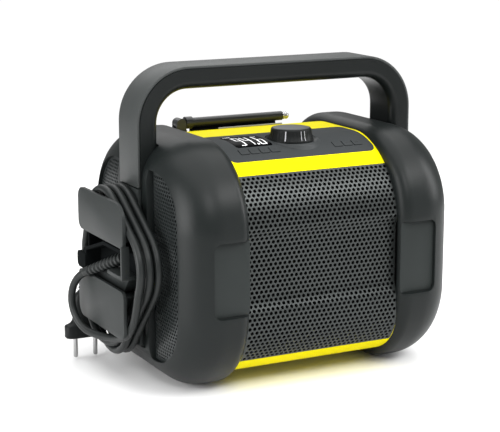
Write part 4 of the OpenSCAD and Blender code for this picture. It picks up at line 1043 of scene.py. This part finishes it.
# the looks of every slot, then those of a few pieces that differ from their slot
looks = {
    "case_yellow": dict(tone=(0.74, 0.645, 0.0), rough=0.5, second=(0.70, 0.605, 0.0), grain=0.12,
                        specular=0.04),
    "bumper_charcoal": dict(tone=(0.0062, 0.0080, 0.0078), rough=0.36, grain=0.2,
                            grainScale=1100.0, specular=0.18),
    "handle_charcoal": dict(tone=(0.0042, 0.0054, 0.0052), rough=0.32, grain=0.2,
                            grainScale=1000.0, specular=0.20),
    "strip_charcoal": dict(tone=(0.0260, 0.0290, 0.0285), rough=0.44, grain=0.25,
                           grainScale=1000.0, specular=0.34),
    "grille_steel": dict(tone=(0.036, 0.040, 0.039), rough=0.33, grain=0.05, scuffs=0.1,
                         metallic=0.5, specular=0.35),
    "window_grille": dict(tone=(0.025, 0.029, 0.029), rough=0.34, grain=0.05, scuffs=0.1,
                          metallic=0.4, specular=0.4),
    "panel_dark": dict(tone=(0.031, 0.034, 0.035), rough=0.6, grain=0.15, scuffs=0.15, specular=0.08),
    "display_black": dict(tone=(0.0008, 0.0008, 0.0010), rough=0.22, spread=0.03, scuffs=0.05, specular=0.01),
    "knob_dark": dict(tone=(0.0050, 0.0058, 0.0058), rough=0.46, grain=0.1, specular=0.12),
    "collar_grey": dict(tone=(0.028, 0.031, 0.032), rough=0.45, grain=0.12, specular=0.16),
    "key_dark": dict(tone=(0.031, 0.034, 0.035), rough=0.58, grain=0.15, specular=0.08),
    "cloth_black": dict(tone=(0.0012, 0.0012, 0.0012), rough=0.95, grain=0.5, grainScale=1500.0,
                        specular=0.02),
    "bracket_dark": dict(tone=(0.0150, 0.0175, 0.0172), rough=0.44, grain=0.22, specular=0.20),
    "cord_black": dict(tone=(0.0085, 0.0102, 0.0100), rough=0.40, grain=0.1, grainScale=500.0, specular=0.26),
    "plug_black": dict(tone=(0.0050, 0.0060, 0.0060), rough=0.42, grain=0.2, specular=0.16),
    "pin_nickel": dict(tone=(0.36, 0.36, 0.36), rough=0.16, metallic=1.0, scuffs=0.4),
    "aerial_black": dict(tone=(0.018, 0.0195, 0.020), rough=0.30, grain=0.1, specular=0.4),
    "aerial_chrome": dict(tone=(0.62, 0.62, 0.64), rough=0.18, metallic=0.75, scuffs=0.2),
    "metal_steel": dict(tone=(0.42, 0.42, 0.43), rough=0.28, metallic=1.0),
    "cone_paper": dict(tone=(0.02, 0.02, 0.02), rough=0.8, grain=0.4),
    "magnet_iron": dict(tone=(0.10, 0.10, 0.11), rough=0.5, metallic=0.6, grain=0.3),
    "board_green": dict(tone=(0.01, 0.10, 0.04), rough=0.4, coat=0.3),
    "padRubber": dict(tone=(0.0200, 0.0232, 0.0226), rough=0.38, grain=0.1, grainScale=1100.0, specular=0.10),
    "knobTop": dict(tone=(0.060, 0.063, 0.064), rough=0.38, grain=0.05, specular=0.3),
    # near-black and almost without reflection: painted shade in the cord outlet's hollow, behind the spool and
    # under the aerial's sleeve
    "paintedShadeBlack": dict(tone=(0.0045, 0.0052, 0.0054), rough=0.65, grain=0.1, specular=0.01),
    # light grey: a painted highlight along the aerial rest's lip, and the colour of the knob's side marks
    "paintedRimGlintAndMark": dict(tone=(0.34, 0.34, 0.36), rough=0.35, grain=0.05, specular=0.5),
    "legendInk": dict(tone=(0.012, 0.012, 0.013), rough=0.6, scuffs=0.1, specular=0.2),
    "digitLight": dict(tone=(0.9, 0.9, 0.9), rough=0.5, second=(0.95, 0.96, 0.97), scuffs=0.0, specular=0.1),
}
finishes = {name: makeFinish(name, **look) for name, look in looks.items()}


def setFinish(made, slot, own=None):
    # gives a piece the finish of its slot, or its own looks in place of it where they are given
    made.data.materials.clear()
    made.data.materials.append(finishes[own or slot])


for node in nodes.values():
    for place in node.material_slots:
        key = place.material.name.split(".")[0] if place.material else ""
        if key in finishes:
            place.material = finishes[key]
print("materials made")


# putting the pieces on their bodies
frontGrille = makeGrille(grille, finishes["grille_steel"])
grilleCloth = makeGrilleCloth(grille)
panelTree = windowTree()
leftWindows, leftCloth = makeEndWindows("leftWindows", -1, endWindow, panelTree, finishes["window_grille"])
rightWindows, rightCloth = makeEndWindows("rightWindows", 1, endWindow, panelTree, finishes["window_grille"])
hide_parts("left_end_grille")
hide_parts("right_end_grille")
print("end windows", len(leftWindows.data.polygons), "faces each")
knobBody, knobCap, knobMark = makeKnob(knob)
knobMound = makeMound(mound, knob)
displayDigits = makeDigits(digits)
displayFilm = makeFilm(film)
aerialRest, aerialRimGlint = makeAerialRest(aerial)
aerialTip = makeAerialTip(aerial)
spoolRib = makeRib(rib)
leftBumper, rightBumper, handleStrip, cordBracket, cordOutlet = (softCopy(*about) for about in (
    ("leftBumper", "left_bumper", 0.7), ("rightBumper", "right_bumper", 0.7),
    ("handleStrip", "handle_strip", 0.7), ("cordBracket", "cord_bracket", 0.6),
    ("cordOutlet", "cord_outlet", 0.4)))
leftPad, rightPad = makePad("leftPad", -1, pad), makePad("rightPad", 1, pad)
print("knob, display, aerial and pads made")

for made, slot, body, *own in (
        (leftBumper, "bumper_charcoal", "case"), (rightBumper, "bumper_charcoal", "case"),
        (handleStrip, "strip_charcoal", "case"), (cordBracket, "bracket_dark", "case"),
        # the cord outlet takes the near-black finish, painted shade in its hollow, in place of its slot's
        (cordOutlet, "bracket_dark", "case", "paintedShadeBlack"), (strainRelief, "cord_black", "case"),
        (plugHousing, "plug_black", "case"), (plugPins, "pin_nickel", "case"),
        (mainsLead, "cord_black", "case"), (frontGrille, "grille_steel", "case"),
        (grilleCloth, "cloth_black", "case"), (leftWindows, "window_grille", "case"),
        (rightWindows, "window_grille", "case"), (leftCloth, "cloth_black", "case"),
        (rightCloth, "cloth_black", "case"), (knobBody, "knob_dark", "knob"),
        (knobCap, "knob_dark", "knob", "knobTop"), (knobMark, "metal_steel", "knob", "paintedRimGlintAndMark"),
        (knobMound, "collar_grey", "case"), (displayDigits, "display_black", "case", "digitLight"),
        # the aerial rest is near-black as painted shade under the sleeve; its rim strip is light grey as a
        # painted highlight
        (displayFilm, "display_black", "case"), (aerialRest, "collar_grey", "case", "paintedShadeBlack"),
        (aerialRimGlint, "collar_grey", "case", "paintedRimGlintAndMark"), (aerialTip, "aerial_chrome", "mast_tube"),
        (leftPad, "bumper_charcoal", "case", "padRubber"),
        # the spool rib is near-black as painted shade in the gap behind the outlet
        (rightPad, "bumper_charcoal", "case", "padRubber"), (spoolRib, "bracket_dark", "case", "paintedShadeBlack")):
    setFinish(made, slot, *own)
    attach(made, body)
nodes["aerial_pin"].material_slots[0].material = finishes["aerial_black"]
for node, text in keyLegends.items():
    legend = makeLegend(node, text)
    setFinish(legend, "key_dark", "legendInk")
    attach(legend, "body_" + node)
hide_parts("cord_tail", "cord_coil", "cord_lead")


# floor, world and lights
ground = {"radius": 1.1, "points": 96, "tone": 0.82, "rough": 0.7, "specular": 0.1}
# the world's strength as light, and what is added where the camera sees it
skyForm = {"light": 0.30, "seen": 0.72}


def makeFloor(sizes):
    points = [(x, y, 0) for x, y in circlePoints(sizes["radius"], sizes["radius"], 2, sizes["points"])]
    floor = meshObject("floor", points, [tuple(range(sizes["points"]))])
    material = bpy.data.materials.new("paleFloor")
    material.use_nodes = True
    shader = material.node_tree.nodes["Principled BSDF"]
    shader.inputs["Base Color"].default_value = (sizes["tone"], sizes["tone"], sizes["tone"], 1)
    shader.inputs["Roughness"].default_value = sizes["rough"]
    shader.inputs["Specular IOR Level"].default_value = sizes["specular"]
    floor.data.materials.append(material)


def makeSky(sizes):
    world = bpy.data.worlds.new("studio")
    world.use_nodes = True
    tree = world.node_tree
    sky = tree.nodes["Background"]
    sky.inputs[0].default_value = (1, 1, 1, 1)
    seen = put(tree, "ShaderNodeLightPath").outputs["Is Camera Ray"]
    added = maths(tree, "MULTIPLY", seen, sizes["seen"])
    tree.links.new(maths(tree, "ADD", added, sizes["light"]), sky.inputs[1])
    scene.world = world


def makeLight(name, place, target, size, power):
    data = bpy.data.lights.new(name, "AREA")
    data.shape = "RECTANGLE"
    data.size, data.size_y = size
    data.energy = power
    lamp = addObject(name, data)
    lamp.location = at(*place)
    lamp.rotation_euler = (at(*target) - lamp.location).to_track_quat("-Z", "Y").to_euler()


makeFloor(ground)
makeSky(skyForm)
makeLight("topSoftbox", (0, 0, 1500), (0, 0, 0), (2.4, 2.4), 43)
makeLight("leftKey", (-500, -1300, 1100), (-30, 0, 120), (0.45, 0.45), 9)
makeLight("highFront", (650, -1250, 1300), (0, 0, 120), (0.9, 0.5), 16)
makeLight("frontStrip", (500, -1500, 250), (0, 0, 90), (0.9, 0.4), 1.6)
makeLight("leftFill", (-1300, -100, 350), (-100, 0, 120), (0.8, 0.8), 17)
makeLight("rightStrip", (1300, -500, 700), (60, 0, 120), (0.4, 1.0), 13)
makeLight("backSoftbox", (300, 1400, 1100), (0, 0, 100), (1.2, 0.8), 5)
scene.view_settings.view_transform = "Standard"
print("floor and lights placed")
